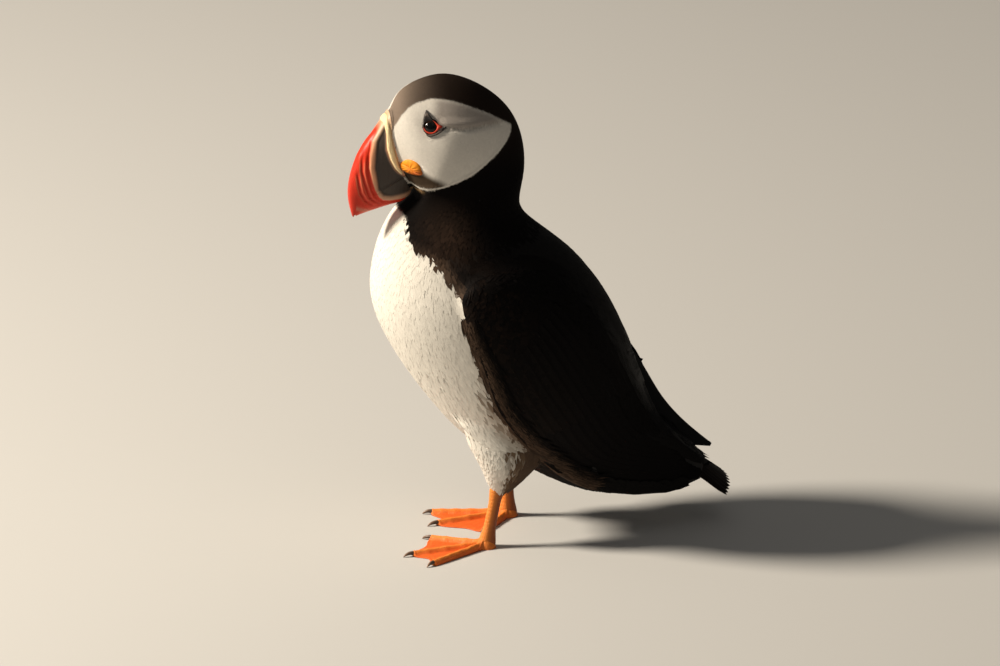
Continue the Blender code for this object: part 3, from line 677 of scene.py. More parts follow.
def face_colour(y, z, cheek, shake):
    """White, with grey over the crease but not at the patch's rim, where the paler rim is a
    painted highlight; a darker line along the crease, partly the face's own marking and partly
    painted shade in the fold; and a dusky chin, also kept off the rim."""
    grey = soft(above_crease(y, z), -0.3, 0.5) * soft(y - 0.3 * (z - 200), -56, -50.5)
    # painted highlight: the grey gives way to white along the patch's rim
    colour = mix(CHEEK_WHITE, CHEEK_GREY, grey * (1 - 0.55 * bell(cheek)))
    # the darker line along the crease: partly the face's own marking, partly painted shade in the fold
    line = bell(from_crease(y, z) / 0.6) * soft(y, -50.5, -47.5) * soft(-y, 14, 34)
    # the chin's grey stops short of the rim, leaving the painted highlight along it
    chin = soft(in_dusky(y, z) + 0.15 * shake, -1.8, 1.6) * soft(cheek, 0.4, 1.1)
    return mix(colour * (1 - 0.55 * line)[..., None], CHIN_GREY, chin)


def plumage_colour(p, rng=None):
    """The markings: white breast and belly with a brown flank, black above, the face on its
    cheek patch and a tan line behind the gape; and painted shade, brown to black, over the
    white round the vent at the sides. With rng, the edges are ragged."""
    x, y, z = np.moveaxis(p, -1, 0)
    shake = rng.normal(size=x.shape) if rng is not None else np.zeros(x.shape)
    fleck = rng.uniform(0, 1, x.shape) if rng is not None else np.full(x.shape, 0.5)
    depth = in_dark(y, z) + 0.7 * shake
    band = 2 + 7 * soft(95 - z, 0, 40)
    flank = soft(depth / band, -1.0, -0.1) * soft(110 - z, 0, 30) * soft(np.abs(x), 8, 14)
    colour = mix(BREAST_WHITE, THIGH_BROWN, flank * (0.3 + 0.7 * fleck))
    colour = mix(colour, dark_colour(x, y, z, depth, fleck), soft(depth, -0.5, 0.5))
    # painted shade: the white round the vent turns brown to black at the sides
    vent = soft(y + 0.2 * (z - 40) + shake, -15, -9) * soft(62 - z, 0, 8)
    vent = np.maximum(vent, soft(y, -4, 6)) * soft(np.abs(x) + shake, 1.5, 5)
    colour = mix(colour, mix(FRINGE_BROWN, BACK_BLACK, soft(y, -12, -2)), vent)
    cheek = cheek_depth(x, y, z)
    on_patch = soft(cheek, -0.2, 0.2) * (np.abs(x) > 0.3) * (z > 164)
    colour = mix(colour, face_colour(y, z, cheek, shake), on_patch)
    y, z = y - GAPE_AT[0], z - GAPE_AT[1]
    along, off = y * GAPE_WAY[0] + z * GAPE_WAY[1], z * GAPE_WAY[0] - y * GAPE_WAY[1]
    gape = 0.8 * bell(off / 0.65) * soft(along, -1, 1) * soft(10.5 - along, 0, 2)
    return mix(colour, CERE_TAN, gape)


# ---- feathers ----

def vane_net(rows, cols, across=None):
    """Places (t, w) of one closed vane and its triangles. t runs from root to tip and w
    across from -1 to 1. The top is the whole net, the underside joins its two rims, and a
    fan closes each end."""
    across = np.linspace(-1, 1, cols) if across is None else np.array(across)
    t, w = np.meshgrid(np.linspace(0, 1, rows), across, indexing="ij")
    k = np.arange(rows * cols).reshape(rows, cols)
    left, right = k[:, 0], k[:, -1]
    under = np.concatenate([
        pack(left[:-1], left[1:], right[1:]), pack(left[:-1], right[1:], right[:-1])])
    j = np.arange(1, cols - 1)
    root = pack(np.zeros_like(j), j + 1, j)
    tip = pack(np.full_like(j, k[-1, 0]), k[-1, 0] + j, k[-1, 0] + j + 1)
    return t.ravel(), w.ravel(), np.concatenate([triangles_of_grid(rows, cols), under, root, tip])


def steps_on(by_u, by_v, move):
    """The steps in u and v that move along the tangent vector move: the two normal
    equations solved."""
    uu, vv, uv = (by_u**2).sum(-1), (by_v**2).sum(-1), (by_u * by_v).sum(-1)
    mu, mv = (move * by_u).sum(-1), (move * by_v).sum(-1)
    area = np.maximum(uu * vv - uv**2, 1e-9)
    return (mu * vv - mv * uv) / area, (mv * uu - mu * uv) / area


# Widths along a vane (1 is its full width) for a body feather, a wing covert, a loose plume
# and a quill, and how a quill's top goes across it.
SHAPE_T = (0.0, 0.3, 0.6, 0.85, 1.0)
SHAPE_W = (0.40, 0.82, 1.0, 0.80, 0.42)
COVERT_W = (0.4, 0.85, 1.0, 0.9, 0.55)
PLUME_W = (0.50, 1.0, 0.85, 0.5, 0.12)
ROUND_TIP = 0.2
QUILL_T = (0, 0.12, 0.5, 0.88, 1)
QUILL_W = (0.35, 0.8, 1.0, 0.86, 0.5)
QUILL_ACROSS = (-1, -0.62, -0.07, 0, 0.07, 0.62, 1)
QUILL_ROUND, QUILL_SHAFT, QUILL_NARROW, QUILL_CUP = 0.35, 0.22, 0.25, 0.3
BAKE_MARGIN = 0.04
BAKE_HALF = 0.0015


def vane_maps(spot, t, w, half, repeat=1):
    """For each vane, a small bake area about its spot, and places (across, along) on it. A
    spot is from 0 to 1 both ways."""
    middle = BAKE_MARGIN + (1 - 2 * BAKE_MARGIN) * spot
    bake = middle[:, None] + BAKE_HALF * pack(w, 2 * t - 1)
    return bake, np.broadcast_to(pack(0.5 + w * half, t * repeat), bake.shape)


def vanes(surface, u, v, long, wide, low, rise, rng, rows=4, cols=3, power=1.0, arch=0.03, sway=0.1,
          heading=0.0, ragged=0.0, uneven=0.04, relief=None, box=None, shape=SHAPE_W):
    """Small feathers rooted at (u, v). Each follows the surface for its length, its height
    over it is low + rise t^power + arch wide (1 - w^2), and its tip is round and ragged.
    Returns points, triangles of one vane, bake places, vane places and places below it."""
    t, w, faces = vane_net(rows, cols)
    _, by_u, by_v, out = local_frame(surface, u, v)
    ahead = unit(by_u)
    aside = np.cross(ahead, out)
    half = np.interp(t, SHAPE_T, shape) / 2
    torn = ragged * rng.uniform(-1, 1, (len(u), len(t))) * t**3
    a = long[:, None] * (t - ROUND_TIP * w**2 * t**3 + torn)
    a, b = turned(a, wide[:, None] * half * w, (heading + sway * rng.normal(size=len(u)))[:, None])
    move = ahead[:, None] * a[..., None] + aside[:, None] * b[..., None]
    du, dv = steps_on(by_u[:, None], by_v[:, None], move)
    under = surface(u[:, None] + np.clip(du, -1.2, 1.6), v[:, None] + np.clip(dv, -0.5, 0.5))
    high = low + rise * t**power + arch * wide[:, None] * (1 - w**2) * (0.3 + 0.7 * t)
    high = high + uneven * rng.normal(size=(len(u), 1)) * t
    if relief:
        high = high + relief(under)
    (u0, u1), (v0, v1) = box or ((u.min(), u.max()), (v.min(), v.max()))
    spot = pack((v - v0) / (v1 - v0), (u - u0) / (u1 - u0))
    return under + out[:, None] * high[..., None], faces, *vane_maps(spot, t, w, half), under


def quills(surface, root, tip, wide, low, rng, rows=15, spot=None):
    """Long stiff feathers, each along the straight line from root to tip in the surface's
    numbers: the leading vane is narrower, the shaft is a ridge, and the rims turn down."""
    t, w, faces = vane_net(rows, 7, QUILL_ACROSS)
    at = root[:, None] + (tip - root)[:, None] * t[None, :, None]
    _, by_u, by_v, out = local_frame(surface, at[..., 0], at[..., 1])
    line = (tip - root)[:, None]
    ahead = unit(by_u * line[..., :1] + by_v * line[..., 1:])
    aside = np.cross(ahead, out)
    half = np.interp(t, QUILL_T, QUILL_W) / 2
    long = np.linalg.norm(surface(*root.T) - surface(*tip.T), axis=-1)[:, None]
    back = -QUILL_ROUND * wide[:, None] * w**2 * t**6 * np.minimum(1, 40 / long)
    wave = 0.03 * np.sin(9 * t + rng.uniform(0, TAU, (len(root), 1)))
    b = wide[:, None] * half * w * (1 + QUILL_NARROW * np.sign(w)) * (1 + wave)
    du, dv = steps_on(by_u, by_v, ahead * back[..., None] + aside * b[..., None])
    under = surface(at[..., 0] + du, at[..., 1] + dv)
    shaft = QUILL_SHAFT * bell(w / 0.06) * (1 - 0.6 * t)
    high = low[:, None] + 0.35 * t + shaft - QUILL_CUP * w**2 * (1 - 0.5 * t)
    spot = np.clip(root[:, ::-1] * (1, 2) if spot is None else spot, 0, 1)
    return under + out * high[..., None], faces, *vane_maps(spot, t, w, half, 3), under


def lay_roots(surface, u_range, v_range, columns, spacing, rng):
    """Roots on columns of constant v, spacing(u) apart as measured along each column, every
    other column half a step further on, all shaken a little."""
    column = np.arange(columns)[:, None]
    v = v_range[0] + (v_range[1] - v_range[0]) * (column + 0.5) / columns
    fine = np.linspace(*u_range, 200)
    step = np.linalg.norm(np.diff(surface(fine[None, :], v), axis=1), axis=-1)
    count = np.cumsum(step / spacing((fine[1:] + fine[:-1]) / 2), axis=1)
    count = np.concatenate([np.zeros((columns, 1)), count], 1)
    far = count[:, -1].max() + 2
    want = np.arange(int(far)) + column % 2 / 2 + rng.uniform(0, 0.3, (columns, 1))
    want = want + rng.uniform(-0.25, 0.25, want.shape)
    there = (want >= 0) & (want < count[:, -1:])
    own = far * column
    u = np.interp((want + own).ravel(), (count + own).ravel(), np.tile(fine, columns)).reshape(want.shape)
    v = v + rng.uniform(-0.7, 0.7, want.shape) * (v_range[1] - v_range[0]) / columns
    return u[there], v[there]


def on_side(layer, side):
    """A layer made for the left, or its mirror image for the right."""
    points, faces, *rest = layer
    return layer if side == "left" else (points * FLIP[side], faces[:, ::-1], *rest)


def coat(name, layers, colours, material, slot, rng, fade=0.08, vary=0.03):
    """One joined mesh of layers of vanes. A colour is given for each vane or for each of its
    points; each vane is a little darker at its root, painted shade where it lies under its
    neighbours, and varies from its neighbours."""
    parts, tints, maps = [], [], ([], [])
    for (points, faces, bake, place, _), colour in zip(layers, colours):
        n, k = points.shape[:2]
        parts.append((points.reshape(-1, 3), (faces + (np.arange(n) * k)[:, None, None]).reshape(-1, 3)))
        # painted shade: darker towards each vane's root
        shade = (1 - fade + fade * place[..., 1].clip(0, 1)) * (1 + vary * rng.normal(size=(n, 1)))
        colour = colour if colour.ndim == 3 else colour[:, None, :]
        tints.append((colour * shade[..., None]).reshape(-1, 3).clip(0, 0.95))
        for kept, values in zip(maps, (bake, place)):
            kept.append(values.reshape(-1, 2))
    named = zip(("OFBake", "vane"), map(np.concatenate, maps))
    make_piece(name, joined(parts), material, slot, np.concatenate(tints), named, crisp=True)


def tip_colour(layer, rng):
    """The markings and painted shade under each vane's widest place."""
    under, t = layer[4], layer[3][0, :, 1]
    at = np.abs(t - 0.7).argmin()
    return plumage_colour(under[:, at], rng)


# ---- wings ----

def wing_grids(side, rows, cols):
    """Inner face, outward normals and thickness of a folded wing. The inner face lies on the
    body, or stands off the midline where the body draws in; the middle is thicker."""
    along, across = net(0, 1, rows, 0, 1, cols)
    steps = len(WING_UPPER[side]) - 1
    upper, lower = spline(WING_UPPER[side], along * steps), spline(WING_LOWER[side], along * steps)
    view = upper + (lower - upper) * across[..., None]
    y, z = view[..., 0], view[..., 1]
    on_body, out = on_flank(y, z)
    lifted = on_body + WING_GAP * out
    stand = np.interp(y, WING_STAND_Y, WING_STAND_X)
    near = np.hypot(on_body[..., 1] - y, on_body[..., 2] - z) < 0.5
    x = WING_BLEND * np.logaddexp(np.where(near, lifted[..., 0], 0.0) / WING_BLEND, stand / WING_BLEND)
    inner = pack(x, np.where(near, lifted[..., 1], y), np.where(near, lifted[..., 2], z))
    out = np.cross(np.gradient(inner, axis=0), np.gradient(inner, axis=1))
    out = unit(out) * np.sign(out[..., :1] + 1e-9)
    swell = np.sin(math.pi * across) ** 0.7 * np.sin(math.pi * np.sqrt(along)) ** 0.6
    return inner, out, WING_EDGE + (WING_THICK - WING_EDGE) * swell


def wing_outline(side):
    """The folded wing's upper edge to its tip and its lower edge back."""
    steps = np.linspace(0, len(WING_UPPER[side]) - 1, 61)
    return np.concatenate([spline(WING_UPPER[side], steps), spline(WING_LOWER[side], steps)[::-1]])


CHART_LOW, CHART_STEP, CHART_SIZE = (-66.0, 4.0), 1.5, (112, 102)


def chart_wing(grids):
    """Chart over (y, z) of the wing's outer face as a distance x from the midline. Outside
    the outline it falls away from the nearest edge, ever faster."""
    inner, out, thick = grids
    face = inner + out * thick[..., None]
    outer = face.reshape(-1, 3)
    knots = (a + CHART_STEP * np.arange(n) for a, n in zip(CHART_LOW, CHART_SIZE))
    y, z = np.meshgrid(*knots, indexing="ij")
    i, j = (np.rint((outer[:, k + 1] - CHART_LOW[k]) / CHART_STEP).astype(int) for k in range(2))
    total, count = np.zeros(CHART_SIZE), np.zeros(CHART_SIZE)
    np.add.at(total, (i, j), outer[:, 0])
    np.add.at(count, (i, j), 1)
    edge = np.concatenate([face[:, 0], face[:, -1], face[0], face[-1]])
    away = np.hypot(edge[:, 1] - y[..., None], edge[:, 2] - z[..., None])
    near = away.argmin(-1)
    far = np.take_along_axis(away, near[..., None], -1)[..., 0]
    x = np.where(count > 0, total / np.maximum(count, 1), edge[near, 0] - 1.1 * far - 0.12 * far**2)
    for _ in range(2):
        for line in (x, x.T):
            line[1:-1] = (line[:-2] + 2 * line[1:-1] + line[2:]) / 4
    return from_chart(x, CHART_LOW, CHART_STEP)


WINGS = {side: wing_grids(side, 161, 61) for side in SIDES}
WING_X = {side: chart_wing(WINGS[side]) for side in SIDES}
IN_WING = {side: chart_inside(wing_outline(side), (-66.0, 4.0), (102.0, 150.0), 1.0) for side in SIDES}
DRAPE = 0.8


def thigh_middle(side, share):
    """The y of the thigh's middle, that share of the way back from the ankle to the hip."""
    ankle = ANKLE[side][1]
    return ankle + (HIP[side] - ankle) * share


def thigh_x(side):
    """Chart over (y, z) of the thigh's outer face as a distance x from the midline, falling
    away in front of the thigh, behind it and over its top."""
    def value(y, z):
        out, share, broad, deep = (np.interp(z, THIGH[::-1, 0], THIGH[::-1, k]) for k in (1, 2, 3, 4))
        away = (y - thigh_middle(side, share)) / deep
        past = np.maximum(np.abs(away) - 1, 0) * deep
        over = np.maximum(z - THIGH[0, 0], 0)
        fall = 1.2 * past + 0.1 * past**2 + 0.3 * over + 0.05 * over**2
        return out + broad * np.sqrt(np.clip(1 - away**2, 0, 1)) - fall
    return charted(value, (-60.0, 20.0), (25.0, 90.0), 1.0)


THIGH_X = {side: thigh_x(side) for side in SIDES}
THIGH_DRAPE = 1.6


def by_side(charts, x, y, z):
    """What the chart of the side that x is on says at (y, z)."""
    return np.where(x > 0, charts["left"](y, z), charts["right"](y, z))


def draped(u, v):
    """The body with its wings and thighs in place: where one lies out beyond the body, x
    eases over to its outer face by k log(exp(x / k) + exp(outer x / k))."""
    x, y, z = np.moveaxis(body(u, v), -1, 0)
    lifted = DRAPE * np.logaddexp(np.abs(x) / DRAPE, by_side(WING_X, x, y, z) / DRAPE)
    leg = by_side(THIGH_X, x, y, z) - 60 * soft(14 - np.abs(x), 0, 5)
    lifted = THIGH_DRAPE * np.logaddexp(lifted / THIGH_DRAPE, leg / THIGH_DRAPE)
    return pack(np.where(x > 0, lifted, -lifted), y, z)


def draped_from(side):
    """The draped body with its numbers and x as if that side were the left."""
    return draped if side == "left" else lambda u, v: draped(u, -v) * FLIP[side]


def in_wing(p):
    """How far a place lies inside the outline of the wing on its side."""
    return by_side(IN_WING, *np.moveaxis(p, -1, 0))


# ---- body ----

FEATHER_S = (0.0, 1.5, 5.0, 6.5, 8.0, 10.0, 12.0, 14.5, 17.0)
FEATHER_LONG = (1.7, 2.1, 2.7, 3.6, 5.6, 8.0, 9.5, 9.0, 9.0)
THIGH_DEPTH = 0.55
ROOT_STEP = 0.34  # of a feather's length
TUCKED = 4.5  # how far body feathers reach in under a wing
SKIN_DEPTH = ((0.0, 5.0, 6.5, 8.0, 10.0, 17.0), (0.17, 0.19, 0.34, 0.45, 0.45, 0.5))


def feather_long(s):
    """Length of the body's feathers at each station."""
    return np.interp(s, FEATHER_S, FEATHER_LONG)


def thigh(side):
    """The feathered thigh: a leaning cone, u from its top down to the tarsus and v round it."""
    def surface(u, v):
        row = spline(THIGH, np.asarray(u, float) * (len(THIGH) - 1))
        x = row[..., 1] + row[..., 3] * np.cos(v)
        return pack(x, thigh_middle(side, row[..., 2]) - row[..., 4] * np.sin(v), row[..., 0])
    return surface


def thigh_sink(z):
    """How far the thigh's top draws in under the flank."""
    return 1.5 * soft(z, 46, 57)


def make_skin(material):
    """One closed skin under the plumage of head, trunk and thighs: the outline drawn in by
    the coat's depth along its normals, with the folds of the face."""
    s, turn = round_net(0.0, BODY_END, 300, 160)
    at, _, _, out = local_frame(body, s, turn)
    depth = np.interp(s, *SKIN_DEPTH)
    parts = [tube(at + out * (face_relief(at) - depth)[..., None])]
    for side in SIDES:
        at, _, _, out = local_frame(thigh(side), *round_net(0, 1, 30, 40))
        points, faces = tube(at - (THIGH_DEPTH + thigh_sink(at[..., 2]))[..., None] * out)
        parts.append((points * FLIP[side], faces))
    shape = joined(parts)
    make_piece(
        "skin", shape, material, "white_body_plumage", plumage_colour(shape[0]),
        replaces=("head", "neck", "breast", "belly", "rump", "thigh_left", "thigh_right"))


EYE_BARE, EYE_BARE_AHEAD = 3.1, 0.9
ROSETTE_BARE = (3.8, 3.1)


def clear_of_face(p):
    """True where feathers may root on the head: outside a circle about the eye, a little
    ahead of its middle, and an oval about the rosette."""
    y, z = p[..., 1], p[..., 2]
    over_rosette = np.hypot((y - ROSETTE_AT[0]) / ROSETTE_BARE[0], (z - ROSETTE_AT[1]) / ROSETTE_BARE[1])
    return (from_eye(y + EYE_BARE_AHEAD, z) > EYE_BARE) & (over_rosette > 1)


def brow(u, v):
    """The base of the bill, with u running backwards from its third of a station to the face."""
    return bill(0.30 - np.asarray(u, float), v)


def make_head_feathers(material, rng):
    """Tiny feathers over the head, in two coats, and over the bill's base up to the cere."""
    for name, start, end, columns in (("face_feathers", 0.02, 3.3, 210), ("nape_feathers", 3.2, 6.45, 190)):
        u, v = lay_roots(body, (start, end), ROUND, columns, lambda s: ROOT_STEP * feather_long(s), rng)
        at = body(u, v)
        keep = clear_of_face(at)
        u, v, at = u[keep], v[keep], at[keep]
        short = 0.45 + 0.55 * soft(from_eye(at[:, 1], at[:, 2]), 3, 7)
        long = feather_long(u) * short * rng.uniform(0.85, 1.15, len(u))
        layers = [vanes(body, u, v, long, 0.75 * long, -0.16, 0.06, rng, sway=0.05, uneven=0.002, arch=0.01,
                        relief=face_relief, box=((1.3 * start - 0.3 * end, end), ROUND))]
        if start < 1:
            u, v = lay_roots(brow, (0.0, 0.30), ROUND, 130, lambda s: 0.55 + 0 * s, rng)
            long = 1.5 * rng.uniform(0.85, 1.15, len(u))
            layers.append(vanes(brow, u, v, long, 0.6 * long, -0.12, 0.12, rng, rows=3, sway=0.07,
                                uneven=0.012, box=((0, 1.4), ROUND)))
        colours = [plumage_colour(layer[4]) for layer in layers]
        coat(name, layers, colours, material, "head_plumage", rng, fade=0.03, vary=0.018)


def make_body_feathers(name, slot, s_range, columns, low, rise, wide, ragged, material, rng):
    """A coat over a stretch of the body, but not where the wings cover it."""
    u, v = lay_roots(draped, s_range, ROUND, columns, lambda s: ROOT_STEP * feather_long(s), rng)
    keep = in_wing(draped(u, v)) < TUCKED
    u, v = u[keep], v[keep]
    long = feather_long(u) * rng.uniform(0.85, 1.2, len(u))
    layer = vanes(draped, u, v, long, wide * long, low, rise, rng, rows=5, sway=0.07, uneven=0.02,
                  ragged=ragged, relief=face_relief if s_range[0] < 7 else None, box=(s_range, ROUND))
    coat(name, [layer], [tip_colour(layer, rng)], material, slot, rng)


def make_thigh_feathers(material, rng):
    """A coat round each thigh, white in front and brown behind."""
    layers, colours = [], []
    for side in SIDES:
        face = thigh(side)
        u, v = lay_roots(face, (0.10, 0.97), ROUND, 56, lambda u: 1.5 + 0 * u, rng)
        long = np.interp(u, (0, 1), (8.0, 4.0)) * rng.uniform(0.8, 1.2, len(u))
        layer = vanes(face, u, v, long, 0.32 * long, -0.25, 0.32, rng, rows=5, ragged=0.1,
                      relief=lambda p: -thigh_sink(p[..., 2]),
                      box=((0, 1), (0, 2 * TAU) if side == "left" else (-TAU, TAU)))
        back = -np.sin(v) + 0.12 * rng.normal(size=len(v))
        brown = mix(THIGH_BROWN, FRINGE_BROWN, soft(back, -0.1, 0.3))
        colours.append(mix(BREAST_WHITE, brown, soft(back, -0.42, 0.0)))
        layers.append(on_side(layer, side))
    coat("thigh_feathers", layers, colours, material, "white_body_plumage", rng)


# ---- wing and tail feathers ----

def woven(grid):
    """The surface through a grid of points over 0 to 1 both ways, straight between them and
    running on a little past its edges."""
    rows, cols = grid.shape[:2]

    def surface(u, v):
        u, v = np.broadcast_arrays(np.asarray(u, float), np.asarray(v, float))
        return between(grid, np.clip(u, -0.02, 1.02) * (rows - 1), np.clip(v, -0.03, 1.03) * (cols - 1))

    return surface


COAT_THICK = 1.0
# Number of feathers and of points along each; then, from the first feather to the last, where
# its root and its tip lie along and across the wing, its width and its height.
WING_ROWS = (
    (10, 15, (0.46, 0.52), (0.30, 0.93), (0.76, 1), (0.06, 0.50), (10.5, 8), (0.65, 0)),
    (13, 15, (0.38, 0.34), (0.03, 0.97), (0.73, 0.62), (0.05, 0.97), (10, 10), (1, 0.55)),
    (15, 11, (0.30, 0.28), (0.02, 0.98), (0.56, 0.50), (0.03, 0.98), (8.5, 8.5), (1.2, 0.8)),
)


def feather_rows(count, *ranges):
    """One number from each (first, last) range, for each feather of a row."""
    return [np.linspace(*ends, count) for ends in ranges]


def make_wing(side, material, under, rng):
    """A core, three rows of long feathers and the small coverts over them."""
    inner, out, thick = WINGS[side]
    top = inner + out * np.maximum(thick - COAT_THICK, 0.3)[..., None]
    core = slab(*((grid * FLIP[side])[::2, ::2] for grid in (top, inner + 0.05 * out)))
    make_piece(f"wing_core_{side}", core, under, "black_feathers", BACK_BLACK, replaces=(f"wing_{side}",))
    face = woven(inner + out * np.maximum(thick - COAT_THICK, 0.2)[..., None])
    layers = []
    for count, rows, *ranges in WING_ROWS:
        root_u, root_v, tip_u, tip_v, wide, low = feather_rows(count, *ranges)
        root, tip = pack(root_u, root_v), pack(tip_u, tip_v)
        layers.append(quills(face, root, tip, wide, low, rng, rows))
    u, v = lay_roots(
        face, (0.0, 0.46), (0.0, 1.0), 40, lambda a: np.interp(a, (0, 0.15, 0.46), (1.7, 2.4, 3.6)), rng)
    long = np.interp(u, (0, 0.2, 0.46), (5.0, 8.0, 13.0)) * rng.uniform(0.85, 1.15, len(u))
    layers.append(vanes(face, u, v, long, 0.6 * long, 0.35, 0.6, rng, rows=5, cols=5, sway=0.05,
                        box=((0, 0.5), (0, 1)), shape=COVERT_W))
    colours = []
    for layer in layers:
        first = layer[0][:, 0, 1]
        # brown flecks towards the wrist: partly the plumage's own brown, partly painted sheen
        brown = bell((first + 40) / 16) * rng.uniform(0, 1, len(first)) ** 2
        colours.append(mix(BACK_BLACK, SHOULDER_BROWN_AND_SHEEN, brown * 0.35))
    layers = [on_side(layer, side) for layer in layers]
    coat(f"wing_feathers_{side}", layers, colours, material, "black_feathers", rng, fade=0.2)


def edge_roots(edge, along, off):
    """Places on the body at the shares along of a wing's edge, moved off to its outside, and
    the turn there from the body's own lie to the edge's direction."""
    steps = len(edge) - 1
    at = spline(edge, along * steps)
    ahead = unit(spline(edge, along * steps + 0.05) - at)
    u, v = find_on_body(*(at + off[:, None] * pack(ahead[:, 1], -ahead[:, 0])).T)
    _, by_u, _, out = local_frame(body, u, v)
    lie = np.concatenate([np.zeros((len(u), 1)), ahead], 1)
    return u, v, np.arctan2((lie * np.cross(unit(by_u), out)).sum(-1), (lie * unit(by_u)).sum(-1))


def make_mantle(side, material, rng):
    """Long shoulder feathers that root along the wing's upper edge and run down over it."""
    along = np.sort(rng.uniform(0.06, 0.62, 420))[::-1]
    u, v, turn = edge_roots(WING_UPPER[side], along, rng.uniform(-7.0, 3.0, len(along)))
    long = np.interp(along, (0, 0.2, 0.62), (8.0, 13.0, 17.0)) * rng.uniform(0.85, 1.15, len(u))
    layer = vanes(draped_from(side), u, v, long, 0.42 * long, -0.1, 0.6, rng, rows=7, cols=5, sway=0.06,
                  heading=turn * 0.8 + 0.10, ragged=0.04)
    colour = plumage_colour(layer[4][:, 12], rng)
    coat(f"mantle_feathers_{side}", [on_side(layer, side)], [colour], material, "black_body_plumage", rng)


def make_flank_fringe(side, material, rng):
    """Loose brown plumes that root on the flank before the wing's lower edge and lie over it."""
    along, outside = rng.uniform(0.06, 0.66, 1900), rng.uniform(-3.0, 3.2, 1900)
    u, v, turn = edge_roots(WING_LOWER[side], along, outside)
    long = np.interp(along, (0, 0.2, 0.66), (5.0, 10.0, 14.0)) * rng.uniform(0.6, 1.3, len(u))
    layer = vanes(draped_from(side), u, v, long, 0.11 * long, 0.0, 0.7, rng, rows=7, power=0.8, sway=0.12,
                  heading=turn - 0.10, ragged=0.1, shape=PLUME_W)
    colour = mix(BACK_BLACK, FRINGE_BROWN, soft(outside, -2.5, 1.5) * rng.uniform(0.3, 1.0, len(u)))
    coat(f"flank_fringe_{side}", [on_side(layer, side)], [colour], material, "black_body_plumage", rng)


def tail_face(above):
    """The tail fan's upper (+1) or under (-1) face: u from root to tip, v from side to side."""
    def surface(u, v):
        u, v = np.broadcast_arrays(np.asarray(u, float), np.asarray(v, float))
        row = spline(TAIL, u * (len(TAIL) - 1))
        across = np.clip((2 * v - 1) * above, -1.0, 1.0)
        x = row[..., 2] * across
        high = above * (row[..., 3] - 0.35) * np.sqrt(np.clip(1 - across**2, 0, 1))
        z = row[..., 1] + high - x * math.tan(TAIL_ROLL)
        return pack(x, row[..., 0] - TAIL_ROUND * u * across**2, z)
    return surface


def make_tail(material, under, rng):
    """A core, and a fan of long feathers on it above and another below."""
    rows, around = round_net(0, 0.94, 24, 48)
    row = spline(TAIL, rows * (len(TAIL) - 1))
    x = (row[..., 2] - 1.5) * np.cos(around)
    y = row[..., 0] - TAIL_ROUND * rows * np.cos(around) ** 2
    z = row[..., 1] + (row[..., 3] - 0.5) * np.sin(around) - x * math.tan(TAIL_ROLL)
    core = tube(pack(x, y, z))
    make_piece("tail_core", core, under, "black_feathers", BACK_BLACK, replaces=("tail",))
    v = np.linspace(0.06, 0.94, 12)
    v = v[np.argsort(-np.abs(v - 0.5) * 2)]
    one = np.ones(12)
    root, tip = pack(0.02 * one, 0.5 + 0.8 * (v - 0.5)), pack(one, v)
    layers = []
    for above, thinner in ((1, 1), (-1, 0.8)):
        low = (0.05 + 0.45 * (1 - np.abs(v - 0.5) * 2)) * thinner
        spot = pack(v, one * (0.5 + 0.5 * above))
        layers.append(quills(tail_face(above), root, tip, 8.2 * one, low, rng, rows=13, spot=spot))
    colours = [TAIL_BROWN * rng.uniform(0.7, 1.2, (12, 1)) for _ in layers]
    coat("tail_feathers", layers, colours, material, "black_feathers", rng, fade=0.2)


def make_tail_coverts(material, rng):
    """Coverts over and under the root of the tail, in the colours of the body there."""
    u, v = lay_roots(body, (15.2, 16.9), ROUND, 46, lambda s: 2.4 + 0 * s, rng)
    long = np.interp(u, (15.2, 16.9), (11.0, 15.0)) * rng.uniform(0.85, 1.15, len(u))
    layer = vanes(body, u, v, long, 0.42 * long, -0.6, 0.8, rng, rows=6, cols=5, ragged=0.06,
                  box=((15.2, 16.9), ROUND))
    coat("tail_coverts", [layer], [tip_colour(layer, rng)], material, "black_body_plumage", rng)


# ---- bill, rosettes and eyes ----

BAND_AREA = np.array((  # side view of the pale band and all behind it
    (-70.5, 201.5), (-73.2, 198.2), (-75.5, 194), (-77.7, 190.5), (-79, 185.1), (-79.5, 178.6),
    (-78, 171.7), (-76.8, 168.1), (-75, 164.6), (-73, 162.9), (-69.7, 162.3), (-64.5, 162.7),
    (-60, 163.5), (-50, 166), (-50, 215), (-68, 215),
))
GREY_AREA = np.array((
    (-70.6, 200), (-72.9, 196.4), (-76.1, 190.6), (-77, 185.3), (-77.5, 178.7), (-76.2, 171.6),
    (-75.6, 168.1), (-73, 165), (-69.7, 164.4), (-64.5, 165), (-60.9, 165.8), (-56, 168),
    (-60, 172), (-66.6, 176.3), (-68.3, 178.1), (-70.3, 182), (-71.8, 186.9), (-71.6, 194.3),
))
GROOVES = (  # depth, and the line in the side view
    (0.50, np.array((
        (-81.3, 186.5), (-82.4, 181.5), (-82.6, 176.8), (-81.6, 171.7), (-79.8, 166.4),
        (-78.5, 163.6), (-74.6, 161.2)))),
    (0.42, np.array((
        (-84.4, 177), (-84.3, 174), (-83.8, 169.9), (-83.1, 166.4), (-80.9, 162.8),
        (-78.3, 161)))),
    (0.28, np.array((
        (-79.8, 187), (-79.9, 181.9), (-79.8, 175.2), (-78.2, 168.2), (-75.6, 163.3),
        (-71, 161.2)))),
)
BILL_START = 0.06
BILL_HALVES = (  # last station, rings, points of the horn round each, and whether over the mouth
    ("bill_upper", BILL_END - 0.005, 190, 161, True), ("bill_lower", LOWER_END, 150, 91, False),
)
MOUTH_GAP = 0.04

